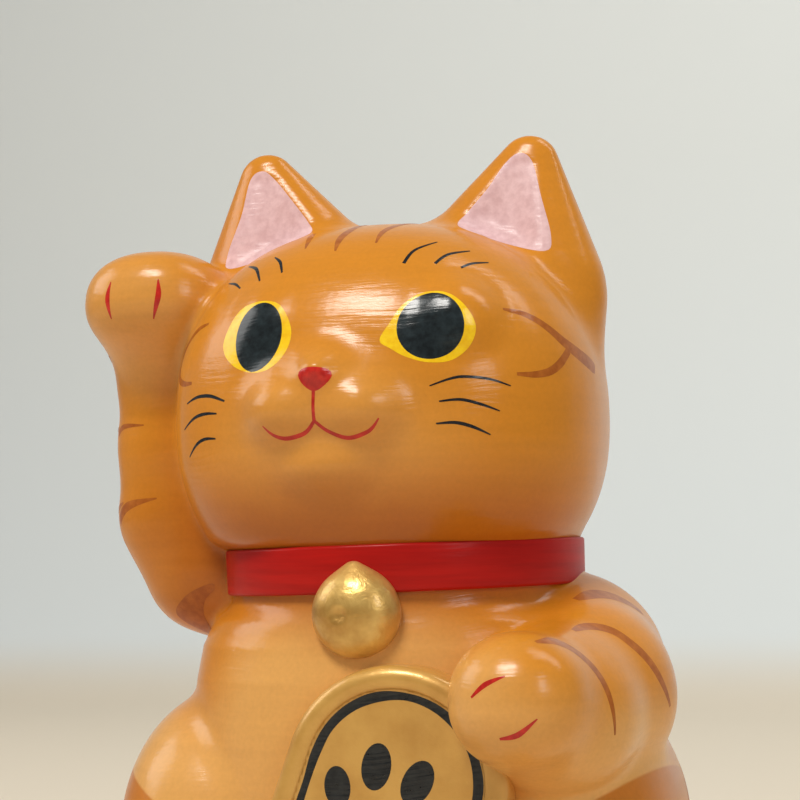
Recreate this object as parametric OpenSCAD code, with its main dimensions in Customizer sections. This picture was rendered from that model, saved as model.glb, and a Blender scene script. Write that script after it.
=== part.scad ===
// Beckoning cat: a hollow glazed earthenware figurine, put together from separately cast pieces.
// The cat faces -Y, its raised right paw is on -X, and the origin is the centre of its round foot.

/* [Body] */
// Width of the body at the belly, without the legs
torso_w = 114; // [95:0.1:137]
// Depth of the body from chest to back
torso_d = 108; // [92:1:128]
// Height from the foot to the seam under the collar
torso_h = 119; // [104:0.1:143]
// Wall thickness of every hollow cast piece
wall = 4.5; // [3.5:0.5:6]

/* [Neck and collar] */
// Diameter of the round neck
neck_d = 92; // [76.5:0.1:96]
// Height of the collar band
collar_h = 12; // [8:1:16]
// Thickness of the collar band
collar_t = 2; // [1.5:0.25:4]

/* [Head] */
// Width of the head across the cheeks
head_w = 115; // [100:1:138]
// Depth of the head without the muzzle
head_d = 106; // [96:1:122]
// Height of the crown above the cheeks
crown_h = 52.5; // [44:0.5:62]
// Rise of the cheeks above the neck seam
cheek_rise = 39; // [33:1:46]
// Sideways shift of the head towards the raised paw
head_shift = 2; // [0:0.5:4]
// Width of the muzzle
muzzle_w = 40; // [34:1:52]
// How far the muzzle stands out of the face
muzzle_out = 8; // [5:1:12]

/* [Ears] */
// Width of an ear at its base
ear_w = 54; // [44:1:60]
// Height of an ear above the crown
ear_h = 24; // [18:1:32]
// Radius of the rounded tip
ear_tip_r = 6.5; // [4.5:0.5:8]
// Distance between the middles of the two ear bases
ear_gap = 62; // [54:1:70]
// How far each tip leans outwards
ear_lean = 8; // [4:1:12]
// Depth of the hollow in the front of an ear
ear_hollow = 5; // [3:0.5:6]

/* [Raised arm] */
// Diameter of the raised forearm
arm_d = 34; // [28:0.1:40]
// Width of the raised paw
paw_w = 42; // [36:1:48]
// Height of the raised paw
paw_h = 29; // [24:1:34]
// Length of the raised paw from front to back
paw_l = 44; // [36:1:52]
// Height of the middle of the raised paw above the neck seam
paw_rise = 70; // [60:1:80]

/* [Lowered arm] */
// Diameter of the lowered arm at the shoulder
shoulder_d = 50; // [42:1:56]
// Diameter of the lowered paw
hand_d = 31; // [26:1:36]

/* [Hind legs] */
// Width of a haunch
haunch_w = 62; // [52:1:72]
// Length of a haunch from front to back
haunch_l = 92; // [78:1:104]
// Height of a haunch
haunch_h = 90; // [76:1:102]
// Distance of the haunch's middle in from the side of the body
haunch_inset = 13; // [8:1:17]
// Width of a hind foot
foot_w = 36; // [30:1:42]
// Length of a hind foot
foot_l = 50; // [42:1:58]
// Height of a hind foot
foot_h = 25; // [20:1:30]
// How far the hind feet reach in front of the body
foot_reach = 27; // [20:1:34]

/* [Tail] */
// Diameter of the tail
tail_d = 17; // [13:1:20]

/* [Bell] */
// Width of the bell
bell_w = 23.5; // [20:0.5:28]
// Height of the bell with its lug
bell_h = 22.5; // [19:0.5:27]
// Sideways place of the bell
bell_x = 1; // [-4:0.5:6]

/* [Coin] */
// Width of the oval coin
coin_w = 56; // [46:0.1:64]
// Length of the oval coin
coin_l = 95; // [80:1:104]
// Thickness of the coin where it leaves the belly
coin_t = 8; // [6:0.5:11]
// Width of the coin's raised rim
coin_rim = 5; // [3.5:0.5:7]
// Depth of the sunk field inside the rim
coin_sink = 1; // [0.5:0.25:2]
// Lean of the coin towards the lowered paw, in degrees
coin_lean = 20; // [12:1:26]
// Sideways place of the middle of the coin's round top
coin_x = 12; // [8:1:16]

/* [Base] */
// Diameter of the round foot
foot_ring_d = 84; // [70:1:88]
// Thickness of the foot
foot_ring_t = 5.5; // [4.5:0.5:8]
// Diameter of the hole in the foot
hole_d = 26; // [20:1:32]
// Diameter of the stopper's flange
flange_d = 34; // [34:1:40]
// Thickness of the stopper's flange
flange_t = 2; // [1.5:0.25:3]
// Length of the stopper's plug above its flange
plug_l = 7; // [5:0.5:10]

/* [Fits] */
// Gap between the stopper and its hole, on the radius
stopper_clearance = 0.06; // [0.02:0.01:0.1]
// Gap round the foot where it is set into the body, on the radius
seat_clearance = 0.1; // [0.05:0.05:0.3]
// Height of the glazed body above the table
table_gap = 1; // [0.5:0.25:2]
// Gap between the stopper's flange and the table
flange_gap = 0.8; // [0.4:0.2:1.2]

/* [Hidden] */

GINGER = [0.84, 0.54, 0.25];
APRICOT = [0.88, 0.66, 0.40];
RED = [0.70, 0.08, 0.06];
GOLD = [0.78, 0.60, 0.25];
BISQUE = [0.86, 0.74, 0.62];
RUBBER = [0.80, 0.78, 0.72];

SIDES = 40;          // points round a body or head ring
LIMB_SIDES = 24;     // points round a limb
EAR_SIDES = 26;      // points round an ear
FOOT_SIDES = 22;     // points round a hind foot
ROUND = 2;           // how full an ellipse or a circle is
COIN_SIDES = 72;     // points round the coin
HOLE_SIDES = 96;     // points round the hole and its stopper
SQUARENESS = 2.3;    // a fuller outline than that
HEAD_RINGS = 18;     // rings from the jaw to the crown
JAW_STEP = 4;        // the jaw's curve starts this far above the collar
JAW_DROP = 13;       // that curve would close this far below the neck seam
CROWN_POLE = 87;     // the head's rings stop this many degrees above the cheeks
POLE = 88;           // a lump's rings stop this many degrees above and below its middle
DOME_STEP = 26;      // degrees between the rings of a limb's domed end
LAP = 0.01;          // cutters pass this far beyond what they cut
NECK_LEN = 7;        // straight part of the neck below its seam
FLANGE_ROOM = 1;     // the recess is this much wider than the stopper's flange
RIGHT = -1;          // the cat's right side
LEFT = 1;            // the cat's left side

neck_r = neck_d / 2;
collar_z = torso_h - collar_h / 2;
cheek_z = torso_h + cheek_rise;
jaw_h = cheek_rise + JAW_DROP;
crown_z = cheek_z + crown_h;
head_x = -head_shift;
head_y = -2;         // the head leans a little forward of the foot's middle
body_y = 2;          // the body's middle lies a little behind it
belly_y = body_y - torso_d / 2;
hole_r = hole_d / 2;
flange_recess = flange_gap + flange_t;

// ---- curves and skins ----

function full(v, e) = sign(v) * pow(abs(v), 2 / e);
function unit(v) = v / norm(v);

// One level ring of a skin: a full oval of half sizes a and b
function oval(a, b, e, n) = [for (i = [0:n - 1]) let (t = 360 * i / n)
    [a * full(cos(t), e), b * full(sin(t), e)]];

// A smooth pass through the points of a path, each [x, y, z, radius, ...]
function bend(a, b, c, d, t) =
    0.5 * (2 * b + (c - a) * t + (2 * a - 5 * b + 4 * c - d) * t * t
           + (3 * b - a - 3 * c + d) * t * t * t);
function smooth(p, steps) = let (n = len(p) - 1) concat(
    [for (i = [0:n - 1], j = [0:steps - 1])
        bend(p[max(i - 1, 0)], p[i], p[i + 1], p[min(i + 2, n)], j / steps)],
    [p[n]]);

// A closed skin over a stack of rings, which all have the same number of points
module skin(rings) {
    n = len(rings[0]);
    m = len(rings);
    polyhedron(
        points = [for (r = rings, p = r) p],
        faces = concat(
            [[for (i = [0:n - 1]) i]],
            [[for (i = [n - 1:-1:0]) (m - 1) * n + i]],
            [for (k = [0:m - 2], i = [0:n - 1]) let (j = (i + 1) % n)
                each [[k * n + i, (k + 1) * n + i, (k + 1) * n + j],
                      [k * n + i, (k + 1) * n + j, k * n + j]]]));
}

// A full, rounded lump of half sizes r: its rings follow the same curve as its outline
module lump(r, e = SQUARENESS, n = LIMB_SIDES) {
    skin([for (i = [0:n / 2]) let (
            t = POLE * (4 * i / n - 1),
            c = full(cos(t), e),
            z = r[2] * full(sin(t), e))
        [for (p = oval(r[0] * c, r[1] * c, e, n)) [p[0], p[1], z]]]);
}

// A round limb through [x, y, z, radius] stations with domed ends.
// up is a direction that the limb never runs along; flat squeezes the limb along its second side.
module limb(stations, up, less = 0, flat = 1, steps = 4) {
    path = smooth(stations, steps);
    m = len(path) - 1;
    xyz = [for (s = path) [s[0], s[1], s[2]]];
    dir = [for (i = [0:m]) unit(xyz[min(i + 1, m)] - xyz[max(i - 1, 0)])];
    body = [for (i = [0:m]) [xyz[i], path[i][3] - less, dir[i]]];
    start = [for (k = [3:-1:1]) dome(xyz[0], -dir[0], body[0][1], k * DOME_STEP)];
    end = [for (k = [1:3]) dome(xyz[m], dir[m], body[m][1], k * DOME_STEP)];
    skin([for (s = concat([for (d = start) [d[0], d[1], dir[0]]], body, end)) let (
            u = unit(cross(up, s[2])),
            v = cross(s[2], u))
        [for (p = oval(s[1], s[1], ROUND, LIMB_SIDES)) s[0] + u * p[0] + v * p[1] * flat]]);
}

// One ring of a domed end: [middle, radius, direction]
function dome(middle, dir, r, a) = [middle + dir * r * sin(a), r * cos(a), dir];

// A fired piece: everything inside is cut and joined as one skin
module piece(c) color(c) resize([0, 0, 0]) children();

// ---- outer forms; less draws the same form that much inside its own surface ----

// Body outline from foot to neck: [share of the height to the neck, share of the width, share of the depth]
BODY_OUTLINE = [[0, 0.80, 0.80], [0.03, 0.88, 0.87], [0.12, 0.95, 0.94], [0.28, 1, 0.99], [0.50, 1.01, 1],
                [0.72, 0.99, 0.97], [0.86, 0.965, 0.94], [0.94, 0.92, 0.91]];

module torso_form(less = 0) {
    low = less > 0 ? foot_ring_t : table_gap;
    high = torso_h - NECK_LEN;
    flare = smooth([for (s = BODY_OUTLINE) [low + s[0] * (high - low),
        s[1] * torso_w / 2 - less, s[2] * torso_d / 2 - less, body_y * (1 - s[0])]], 2);
    neck = [for (z = [high, torso_h + (less > 0 ? LAP : 0)]) [z, neck_r - less, neck_r - less, 0]];
    skin([for (s = concat(flare, neck)) let (e = s[1] > neck_r - less + LAP ? SQUARENESS : ROUND)
        [for (p = oval(s[1], s[2], e, SIDES)) [p[0], s[3] + p[1], s[0]]]]);
}

// The head sits on the neck, rounds out over the collar and closes at the crown
module head_form(less = 0) {
    collar_top = torso_h + collar_h / 2;
    low = asin(pow((cheek_z - collar_top - JAW_STEP) / jaw_h, SQUARENESS / 2));
    neck = [for (z = [torso_h - (less > 0 ? LAP : 0), collar_top])
        [for (p = oval(neck_r - less, neck_r - less, ROUND, SIDES)) [p[0], p[1], z]]];
    skull = [for (i = [0:HEAD_RINGS]) let (
            t = -low + (CROWN_POLE + low) * i / HEAD_RINGS,
            z = cheek_z + ((t < 0 ? jaw_h : crown_h) - less) * full(sin(t), SQUARENESS),
            c = full(cos(t), SQUARENESS))
        [for (p = oval((head_w / 2 - less) * c, (head_d / 2 - less) * c, SQUARENESS, SIDES))
            [head_x + p[0], head_y + p[1] - muzzle(p[0], p[1], z), z]]];
    skin(concat(neck, skull));
}

// How far the muzzle swells the face forwards at a place on it; it is a little wider than tall
MUZZLE_LIFT = 2;
MUZZLE_WIDE = 0.4;
MUZZLE_TALL = 0.3;
function muzzle(x, y, z) = y > 0 ? 0 : muzzle_out * exp(
    -pow(x / (muzzle_w * MUZZLE_WIDE), 2)
    -pow((z - cheek_z - MUZZLE_LIFT) / (muzzle_w * MUZZLE_TALL), 2));

// An ear stands on the crown's shoulder; its front is scooped inside a rounded rim
EAR_ROOT = 0.62;     // share of the crown's height that the ear's base is set at
EAR_THICK = 0.6;     // front-to-back share of an ear's width
EAR_BOW = 0.345;     // radius half way up an ear, as a share of its base width
EAR_BACK = 4;        // distance of the ears behind the foot's middle
SCOOP_WIDE = 0.7;    // share of an ear's half width that the scoop takes up

module ear_form(side) {
    base_z = cheek_z + crown_h * EAR_ROOT;
    tip_z = crown_z + ear_h - ear_tip_r;
    x = ear_gap / 2;
    cone = smooth([[x, base_z, ear_w / 2],
                   [x + ear_lean * 0.45, (base_z + tip_z) / 2, ear_w * EAR_BOW],
                   [x + ear_lean, tip_z, ear_tip_r]], 4);
    tip = [for (a = [25:25:75]) [x + ear_lean, tip_z + ear_tip_r * sin(a), ear_tip_r * cos(a)]];
    skin([for (s = concat(cone, tip)) let (
            up = (s[1] - base_z) / (tip_z - base_z),
            scoop = ear_hollow * max(0, 1 - up * up))
        [for (i = [0:EAR_SIDES - 1]) let (
                t = 360 * i / EAR_SIDES,
                inside = sin(t) < 0 ? max(0, 1 - pow(cos(t) / SCOOP_WIDE, 2)) : 0)
            [head_x + side * s[0] + s[2] * cos(t),
             EAR_BACK + s[2] * EAR_THICK * sin(t) + scoop * inside,
             s[1]]]]);
}

// The upper arm swings out past the body, the forearm goes up beside the cheek, and the paw bends forwards
PAW_NOD = 14;        // how far the raised paw nods, in degrees
PAW_FORWARD = 12;    // distance of the raised paw in front of the foot's middle

module raised_arm_form(less = 0) {
    side_x = torso_w / 2;
    cheek_x = head_w / 2 + head_shift;
    paw_z = torso_h + paw_rise;
    wrist_z = paw_z - paw_h / 2;
    r = arm_d / 2;
    shoulder = [-side_x + 18, 4, torso_h - 10, 0.83 * r];
    armpit = [-side_x - 1, 4, torso_h + 1, 1.04 * r];
    elbow = [-side_x - 8, 3, torso_h + 16, r];
    forearm = [-cheek_x - 5, 2, torso_h + 34, r];
    wrist = [-cheek_x - 6, 0, wrist_z, 0.94 * r];
    palm = [-cheek_x - 4, -5, wrist_z + paw_h * 0.35, 0.88 * r];
    limb([shoulder, armpit, elbow, forearm, wrist, palm], [1, 0, 0], less);
    translate([-cheek_x - 4.5, -PAW_FORWARD, paw_z]) rotate([PAW_NOD, 0, 0])
        lump([paw_w / 2 - less, paw_l / 2 - less, paw_h / 2 - less]);
}

// The lowered paw rests on the shoulder of the coin
hand_x = coin_x + coin_w / 2 + 4;
hand_y = belly_y - hand_d * 0.22;
hand_z = torso_h - 31;

module lowered_arm_form(less = 0) {
    side_x = torso_w / 2;
    r = shoulder_d / 2;
    shoulder = [side_x - 13, 6, torso_h - 28, r];
    elbow = [side_x - 7, -14, torso_h - 33, 0.92 * r];
    wrist = [side_x - 9, belly_y * 0.76, torso_h - 36, 0.78 * r];
    hand = [hand_x, hand_y, hand_z, hand_d / 2];
    limb([shoulder, elbow, wrist, hand], [0, 0, 1], less);
}

// A haunch with its foot in front of it, both cut level with the sole of the body
HAUNCH_Y = -4;       // middle of a haunch from front to back
HAUNCH_SINK = 2;     // a haunch's lump reaches this far below the sole
FOOT_INSET = 6;      // a foot's middle is this far in from its haunch's

module hind_leg_form(side, less = 0) {
    x = torso_w / 2 - haunch_inset;
    difference() {
        union() {
            translate([side * x, HAUNCH_Y, haunch_h / 2 - HAUNCH_SINK])
                lump([haunch_w / 2 - less, haunch_l / 2 - less, haunch_h / 2 - less], n = LIMB_SIDES + 4);
            if (less == 0)
                translate([side * (x - FOOT_INSET), belly_y - foot_reach + foot_l / 2, foot_h / 2])
                    lump([foot_w / 2, foot_l / 2, foot_h / 2], n = FOOT_SIDES);
        }
        translate([-torso_w, -torso_w, -torso_w + table_gap + less])
            cube([2 * torso_w, 2 * torso_w, torso_w]);
    }
}

// The tail leaves the middle of the back, drops to the table and curls round the left haunch
module tail_form() {
    back = body_y + torso_d / 2;
    side = torso_w / 2;
    r = tail_d / 2;
    low = table_gap + r;
    root = [-0.25 * side, back - 4, low + 22, 0.8 * r];
    drop = [0.03 * side, back + 1, low + 12, r];
    lie = [0.35 * side, back - 2, low + 1, r];
    curl = [0.63 * side, back - 12, low, r];
    tip = [0.82 * side, back - 24, low, 0.7 * r];
    limb([root, drop, lie, curl, tip], [0, 0, 1], steps = 3);
}

// A long oval with round ends
module coin_outline(inset) {
    r = coin_w / 2 - inset;
    straight = coin_l - coin_w;
    hull() for (y = [0, -straight]) translate([0, y]) circle(r, $fn = COIN_SIDES);
}

// The coin leans against the belly, bedded in it, with its round top under the bell
COIN_DROP = 23;      // distance of the coin's top below the neck seam
COIN_BED = 0.4;      // share of the coin's thickness that is behind the belly's front
COIN_EDGE = 1;       // size of the step round the coin's front edge

module coin_place() {
    translate([coin_x, belly_y + coin_t * COIN_BED, torso_h - COIN_DROP - coin_w / 2])
        rotate([0, coin_lean, 0]) rotate([90, 0, 0]) children();
}

module coin_form() {
    coin_place() {
        linear_extrude(coin_t) coin_outline(COIN_EDGE);
        linear_extrude(coin_t - COIN_EDGE) coin_outline(0);
    }
}

// A pear-shaped bell on a lug that hangs from the collar
BELL_FLAT = 0.72;    // front-to-back share of the bell's width

module bell_form() {
    r = bell_w / 2;
    drop = bell_h - r;
    lug = [0, 2, 0, 0.42 * r];
    waist = [0, 0.5, -0.45 * drop, 0.66 * r];
    bowl = [0, -1, -drop, r];
    translate([bell_x, -neck_r - collar_t + 1, collar_z + collar_h / 2])
        limb([lug, waist, bowl], [0, 1, 0], flat = BELL_FLAT);
}

// The room that the collar takes up round the neck
module collar_space() translate([0, 0, collar_z])
    cylinder(r = neck_r + collar_t, h = collar_h, $fn = SIDES * 2);

// ---- the pieces ----

module torso_casting() piece(APRICOT) difference() {
    torso_form();
    torso_form(less = wall);
    translate([0, 0, -LAP])
        cylinder(d = foot_ring_d + 2 * seat_clearance, h = foot_ring_t + 2 * LAP, $fn = SIDES * 2);
}

module head_casting() piece(GINGER) difference() {
    head_form();
    head_form(less = wall);
}

module ear(side) piece(GINGER) difference() {
    ear_form(side);
    head_form();
}
module right_ear() ear(RIGHT);
module left_ear() ear(LEFT);

module raised_arm() piece(GINGER) difference() {
    raised_arm_form();
    raised_arm_form(less = wall);
    torso_form();
    head_form();
    ear_form(RIGHT);
    collar_space();
}

module lowered_arm() piece(GINGER) difference() {
    lowered_arm_form();
    lowered_arm_form(less = wall);
    torso_form();
    coin_form();
    collar_space();
}

module hind_leg(side) piece(GINGER) difference() {
    hind_leg_form(side);
    hind_leg_form(side, less = wall);
    torso_form();
    coin_form();
    if (side == LEFT) lowered_arm_form();
}
module right_hind_leg() hind_leg(RIGHT);
module left_hind_leg() hind_leg(LEFT);

module tail() piece(GINGER) difference() {
    tail_form();
    torso_form();
    hind_leg_form(LEFT);
}

// The band has a small step along both edges
COLLAR_EDGE = 0.5;

module collar() color(RED) rotate_extrude($fn = SIDES * 2) {
    translate([neck_r, collar_z]) square([collar_t - COLLAR_EDGE, collar_h]);
    translate([neck_r, collar_z + COLLAR_EDGE]) square([collar_t, collar_h - 2 * COLLAR_EDGE]);
}

module bell() piece(GOLD) difference() {
    bell_form();
    torso_form();
    head_form();
    collar_space();
}

module koban_coin() piece(GOLD) difference() {
    coin_form();
    torso_form();
    // the sunk field inside the rim
    coin_place() translate([0, 0, coin_t - coin_sink])
        linear_extrude(coin_sink + COIN_EDGE) coin_outline(coin_rim);
}

module foot_disc() color(BISQUE) difference() {
    cylinder(d = foot_ring_d, h = foot_ring_t, $fn = SIDES * 2);
    translate([0, 0, -LAP]) cylinder(r = hole_r, h = foot_ring_t + 2 * LAP, $fn = HOLE_SIDES);
    translate([0, 0, -LAP]) cylinder(d = flange_d + FLANGE_ROOM, h = flange_recess + LAP, $fn = HOLE_SIDES);
}

module base_stopper() color(RUBBER) {
    translate([0, 0, flange_gap])
        cylinder(d = flange_d, h = flange_t, $fn = HOLE_SIDES);
    translate([0, 0, flange_recess])
        cylinder(r = hole_r - stopper_clearance, h = plug_l, $fn = HOLE_SIDES);
}

torso_casting();
head_casting();
right_ear();
left_ear();
raised_arm();
lowered_arm();
right_hind_leg();
left_hind_leg();
tail();
collar();
bell();
koban_coin();
foot_disc();
base_stopper();
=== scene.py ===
import math

import bmesh
import bpy
import numpy as np
from mathutils import Matrix, Vector


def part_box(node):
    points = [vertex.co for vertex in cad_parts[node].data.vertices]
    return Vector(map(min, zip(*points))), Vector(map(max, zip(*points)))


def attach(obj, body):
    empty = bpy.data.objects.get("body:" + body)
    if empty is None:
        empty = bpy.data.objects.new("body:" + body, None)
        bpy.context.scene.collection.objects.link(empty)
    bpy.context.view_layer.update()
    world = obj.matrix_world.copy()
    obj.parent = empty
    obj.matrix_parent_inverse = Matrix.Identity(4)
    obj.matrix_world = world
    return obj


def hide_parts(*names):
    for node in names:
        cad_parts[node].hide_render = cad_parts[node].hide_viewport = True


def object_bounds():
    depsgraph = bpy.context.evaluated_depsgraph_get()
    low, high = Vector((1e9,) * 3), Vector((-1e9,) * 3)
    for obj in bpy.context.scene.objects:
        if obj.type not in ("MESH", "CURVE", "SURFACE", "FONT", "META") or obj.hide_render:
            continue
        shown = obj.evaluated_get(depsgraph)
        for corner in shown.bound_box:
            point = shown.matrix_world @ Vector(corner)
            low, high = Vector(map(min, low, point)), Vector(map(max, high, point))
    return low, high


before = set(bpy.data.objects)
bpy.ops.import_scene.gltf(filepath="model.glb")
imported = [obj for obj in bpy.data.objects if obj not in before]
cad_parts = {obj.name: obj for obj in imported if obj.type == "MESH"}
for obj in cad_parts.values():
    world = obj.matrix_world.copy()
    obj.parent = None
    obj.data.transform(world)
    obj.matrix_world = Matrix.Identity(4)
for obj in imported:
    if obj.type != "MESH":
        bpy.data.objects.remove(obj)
cad_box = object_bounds()

# ---------------------------------------------------------------------------------------------
# The clay master. The cat is first modelled whole in clay, and plaster moulds of its parts are
# taken from it. Every casting is therefore a share of this one surface and meets its neighbours
# without a step. Lengths in this file are millimetres until a mesh is made.
# ---------------------------------------------------------------------------------------------
MM = 0.001
RIGHT, LEFT = -1, 1          # the cat's own sides: its right is on -X


def span(node):
    """A cast part's lowest and highest corner."""
    low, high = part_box(node)
    return np.array(low) / MM, np.array(high) / MM


def ball(p, centre, radii, fullness=2.0):
    """Distance to a rounded lump; a fullness above 2 squares it a little."""
    x, y, z = (p[i] - centre[i] for i in range(3))
    share = (np.abs(x / radii[0]) ** fullness + np.abs(y / radii[1]) ** fullness
             + np.abs(z / radii[2]) ** fullness) ** (1 / fullness) + 1e-6
    return np.sqrt(x * x + y * y + z * z) * (1 - 1 / share) * 0.95


def roll(p, start, end, r_start, r_end):
    """Distance to a tapering roll of clay with a round end on both sides."""
    a, axis = np.array(start, float), np.array(end, float) - np.array(start, float)
    length = math.sqrt(axis @ axis)
    axis /= length
    q = [p[i] - a[i] for i in range(3)]
    along = q[0] * axis[0] + q[1] * axis[1] + q[2] * axis[2]
    across = np.sqrt(np.maximum(q[0] ** 2 + q[1] ** 2 + q[2] ** 2 - along ** 2, 0))
    lean = (r_start - r_end) / length
    upright = math.sqrt(1 - lean * lean)
    place = along * upright - across * lean
    side = across * upright + along * lean - r_start
    foot = np.hypot(across, along) - r_start
    tip = np.hypot(across, along - length) - r_end
    return np.where(place < 0, foot, np.where(place > upright * length, tip, side))


def press(a, b, fillet):
    """Two lumps pressed together, with the joint smoothed over to that fillet."""
    mix = np.clip(0.5 + 0.5 * (b - a) / fillet, 0, 1)
    return b + (a - b) * mix - fillet * mix * (1 - mix)


def trim(a, b, fillet):
    """What lump a and lump b have in common, with its edge rounded."""
    return -press(-a, -b, fillet)


def tilt(p, about, axis, degrees):
    """Points as a lump sees them that is turned about one axis through a place."""
    s, c = math.sin(math.radians(degrees)), math.cos(math.radians(degrees))
    i, j = {"x": (1, 2), "y": (2, 0), "z": (0, 1)}[axis]
    q = list(p)
    u, v = p[i] - about[i], p[j] - about[j]
    q[i], q[j] = c * u + s * v + about[i], -s * u + c * v + about[j]
    return q


torso_low, torso_high = span("torso_casting")
head_low, head_high = span("head_casting")
collar_low, collar_high = span("collar")
coin_low, coin_high = span("koban_coin")
seam_z = torso_high[2]
neck_r = collar_high[0] - 2.0
sole_z = torso_low[2]
body_y = (torso_low[1] + torso_high[1]) / 2
body_half_w = (torso_high[0] - torso_low[0]) / 2
body_half_d = (torso_high[1] - torso_low[1]) / 2
head_half_w = (head_high[0] - head_low[0]) / 2
head_half_d = 53
head_x = (head_high[0] + head_low[0]) / 2
head_y = head_high[1] - head_half_d
cheek_z = head_low[2] + 39
crown_z = head_high[2]
nose_x = head_x - 3
eye_x, eye_gap, eye_z = head_x + 4, 22.2, cheek_z + 21


def torso_clay(p):
    """The sitting body, from its flat sole to the neck."""
    rise = np.clip((p[2] - sole_z) / (seam_z - 9 - sole_z), 0, 1)
    steps = [0, 0.03, 0.08, 0.16, 0.28, 0.50, 0.70, 0.82, 0.90, 0.96, 1.0]
    wide = np.interp(rise, steps, [0.84, 0.885, 0.92, 0.955, 0.99, 1.0, 0.985, 0.965, 0.935, 0.88, 0.81])
    deep = np.interp(rise, steps, [0.82, 0.875, 0.91, 0.945, 0.98, 0.99, 0.97, 0.945, 0.91, 0.87, 0.83])
    y = p[1] - body_y * (1 - rise)
    share = (np.abs(p[0] / (wide * body_half_w)) ** 2.25
             + np.abs(y / (deep * body_half_d)) ** 2.25) ** (1 / 2.25) + 1e-6
    body = np.hypot(p[0], y) * (1 - 1 / share)
    body = trim(body, p[2] - seam_z + 8, 8)
    neck = np.maximum(np.hypot(p[0], p[1]) - neck_r, p[2] - seam_z - 14)
    return trim(press(body, neck, 3), sole_z - p[2], 3)


def head_clay(p):
    """The broad head with its full cheeks, the muzzle, and a swelling behind each painted eye."""
    z = p[2] - cheek_z
    up, down = crown_z - cheek_z, 52
    level = [p[0] - head_x, p[1] - head_y, np.where(z > 0, z, z * up / down)]
    skull = ball(level, (0, 0, 0), (head_half_w, head_half_d, up), 2.3)
    skull = trim(skull, collar_high[2] - 0.6 - p[2], 3.5)
    front = head_y - head_half_d
    for side in (RIGHT, LEFT):
        eye = ball(p, (eye_x + side * eye_gap, front + 18.5, eye_z - 1), (13, 13.5, 13.5))
        skull = press(skull, eye, 3)
    muzzle = ball(p, (nose_x, front + 8.5, cheek_z + 3), (18, 13.5, 12.5))
    for side in (RIGHT, LEFT):
        muzzle = press(muzzle, ball(p, (nose_x + side * 9, front + 6.3, cheek_z + 0.5), (11.5, 12.6, 9)), 3)
    muzzle = press(muzzle, ball(p, (nose_x, front + 2, cheek_z + 9.5), (5, 8.6, 4.5)), 5)
    muzzle = press(muzzle, ball(p, (nose_x, front + 9, cheek_z - 13), (12, 11, 7)), 4)
    skull = press(skull, muzzle, 6)
    neck = np.maximum(np.hypot(p[0], p[1]) - neck_r, seam_z - p[2] - 4)
    neck = np.maximum(neck, p[2] - collar_high[2] - 8)
    return press(skull, neck, 3)


def ear_clay(side):
    """An upright ear: a cone with a blunt tip, flattened, and scooped out in front."""
    low, high = span("left_ear" if side == LEFT else "right_ear")
    foot = (head_x + side * 29.3, 0, cheek_z + 32)
    tip = (head_x + side * 37.4, 0, high[2] - 8.2)

    def clay(p):
        flat = [p[0], (p[1] - 4) / 0.62, p[2]]
        ear = roll(flat, foot, tip, 28.4, 8.2) * 0.75
        rise = np.clip((p[2] - foot[2]) / (tip[2] - foot[2]), 0, 1)
        front = 4 - 0.62 * (28.4 - 20.2 * rise) / math.cos(0.5)
        dish = [p[0], (p[1] - front + 1.0) / 0.36, p[2]]
        hollow_foot, hollow_tip = (foot[0] - side, 0, foot[2] + 5), (tip[0] - side, 0, tip[2] - 3)
        scoop = roll(dish, hollow_foot, hollow_tip, 17.5, 4.2) * 0.5
        return trim(ear, -scoop, 2.2)
    return clay


def arm_clay(p, stations, fillet):
    """A limb rolled through its stations, each (x, y, z, radius)."""
    limb = None
    for a, b in zip(stations, stations[1:]):
        length = roll(p, a[:3], b[:3], a[3], b[3])
        limb = length if limb is None else press(limb, length, fillet)
    return limb


def raised_arm_clay(p):
    """The raised right arm: elbow out, forearm up beside the cheek, paw bent forwards."""
    low, high = span("raised_arm")
    x = low[0] + 20
    paw_z = high[2] - 14.5
    arm = arm_clay(p, [(-40, 4, seam_z - 10, 14), (-57, 4, seam_z + 1, 17.5), (x + 0.5, 3, seam_z + 15, 17.2),
                       (x + 0.5, 2, seam_z + 34, 17), (x - 0.2, 0, seam_z + 54, 15.8),
                       (x + 1, -5, seam_z + 65, 15)], 6)
    web = roll(p, (-50, 9, seam_z), (-50, 5, paw_z - 8), 12, 11)
    paw = tilt(p, (x + 1, -12, paw_z), "x", -14)
    paw = ball(paw, (x + 1, -12, paw_z), (21, 22, 14.5), 2.25)
    return press(press(arm, web, 5), paw, 8)


def lowered_arm_clay(p):
    """The left arm: a heavy shoulder, and a forearm that comes round to rest its paw on the coin."""
    low, high = span("lowered_arm")
    x = torso_high[0]
    hand = (44, low[1] + 15.5, seam_z - 31)
    arm = arm_clay(p, [(x - 14, 6, seam_z - 28, 25), (x - 8, -14, seam_z - 33, 23),
                       (x - 10, -38, seam_z - 36, 19.5), hand + (15,)], 6)
    arm = press(arm, roll(p, (34, 0, seam_z - 14), (x - 18, 0, seam_z - 24), 14, 20), 8)
    return press(arm, ball(p, hand, (16, 16.5, 15), 2.2), 5)


def hind_leg_clay(side):
    """A folded hind leg: the broad haunch and the foot that shows in front of it."""
    low, high = span("left_hind_leg" if side == LEFT else "right_hind_leg")
    x = side * (max(abs(low[0]), abs(high[0])) - 31)

    def clay(p):
        haunch = ball(p, (x, -4, 43), (31, 46, 45), 2.3)
        foot = ball(p, (x - side * 6, low[1] + 25, 12.5), (18, 25, 12.5), 2.3)
        return trim(press(haunch, foot, 7), sole_z - p[2], 3)
    return clay


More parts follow.
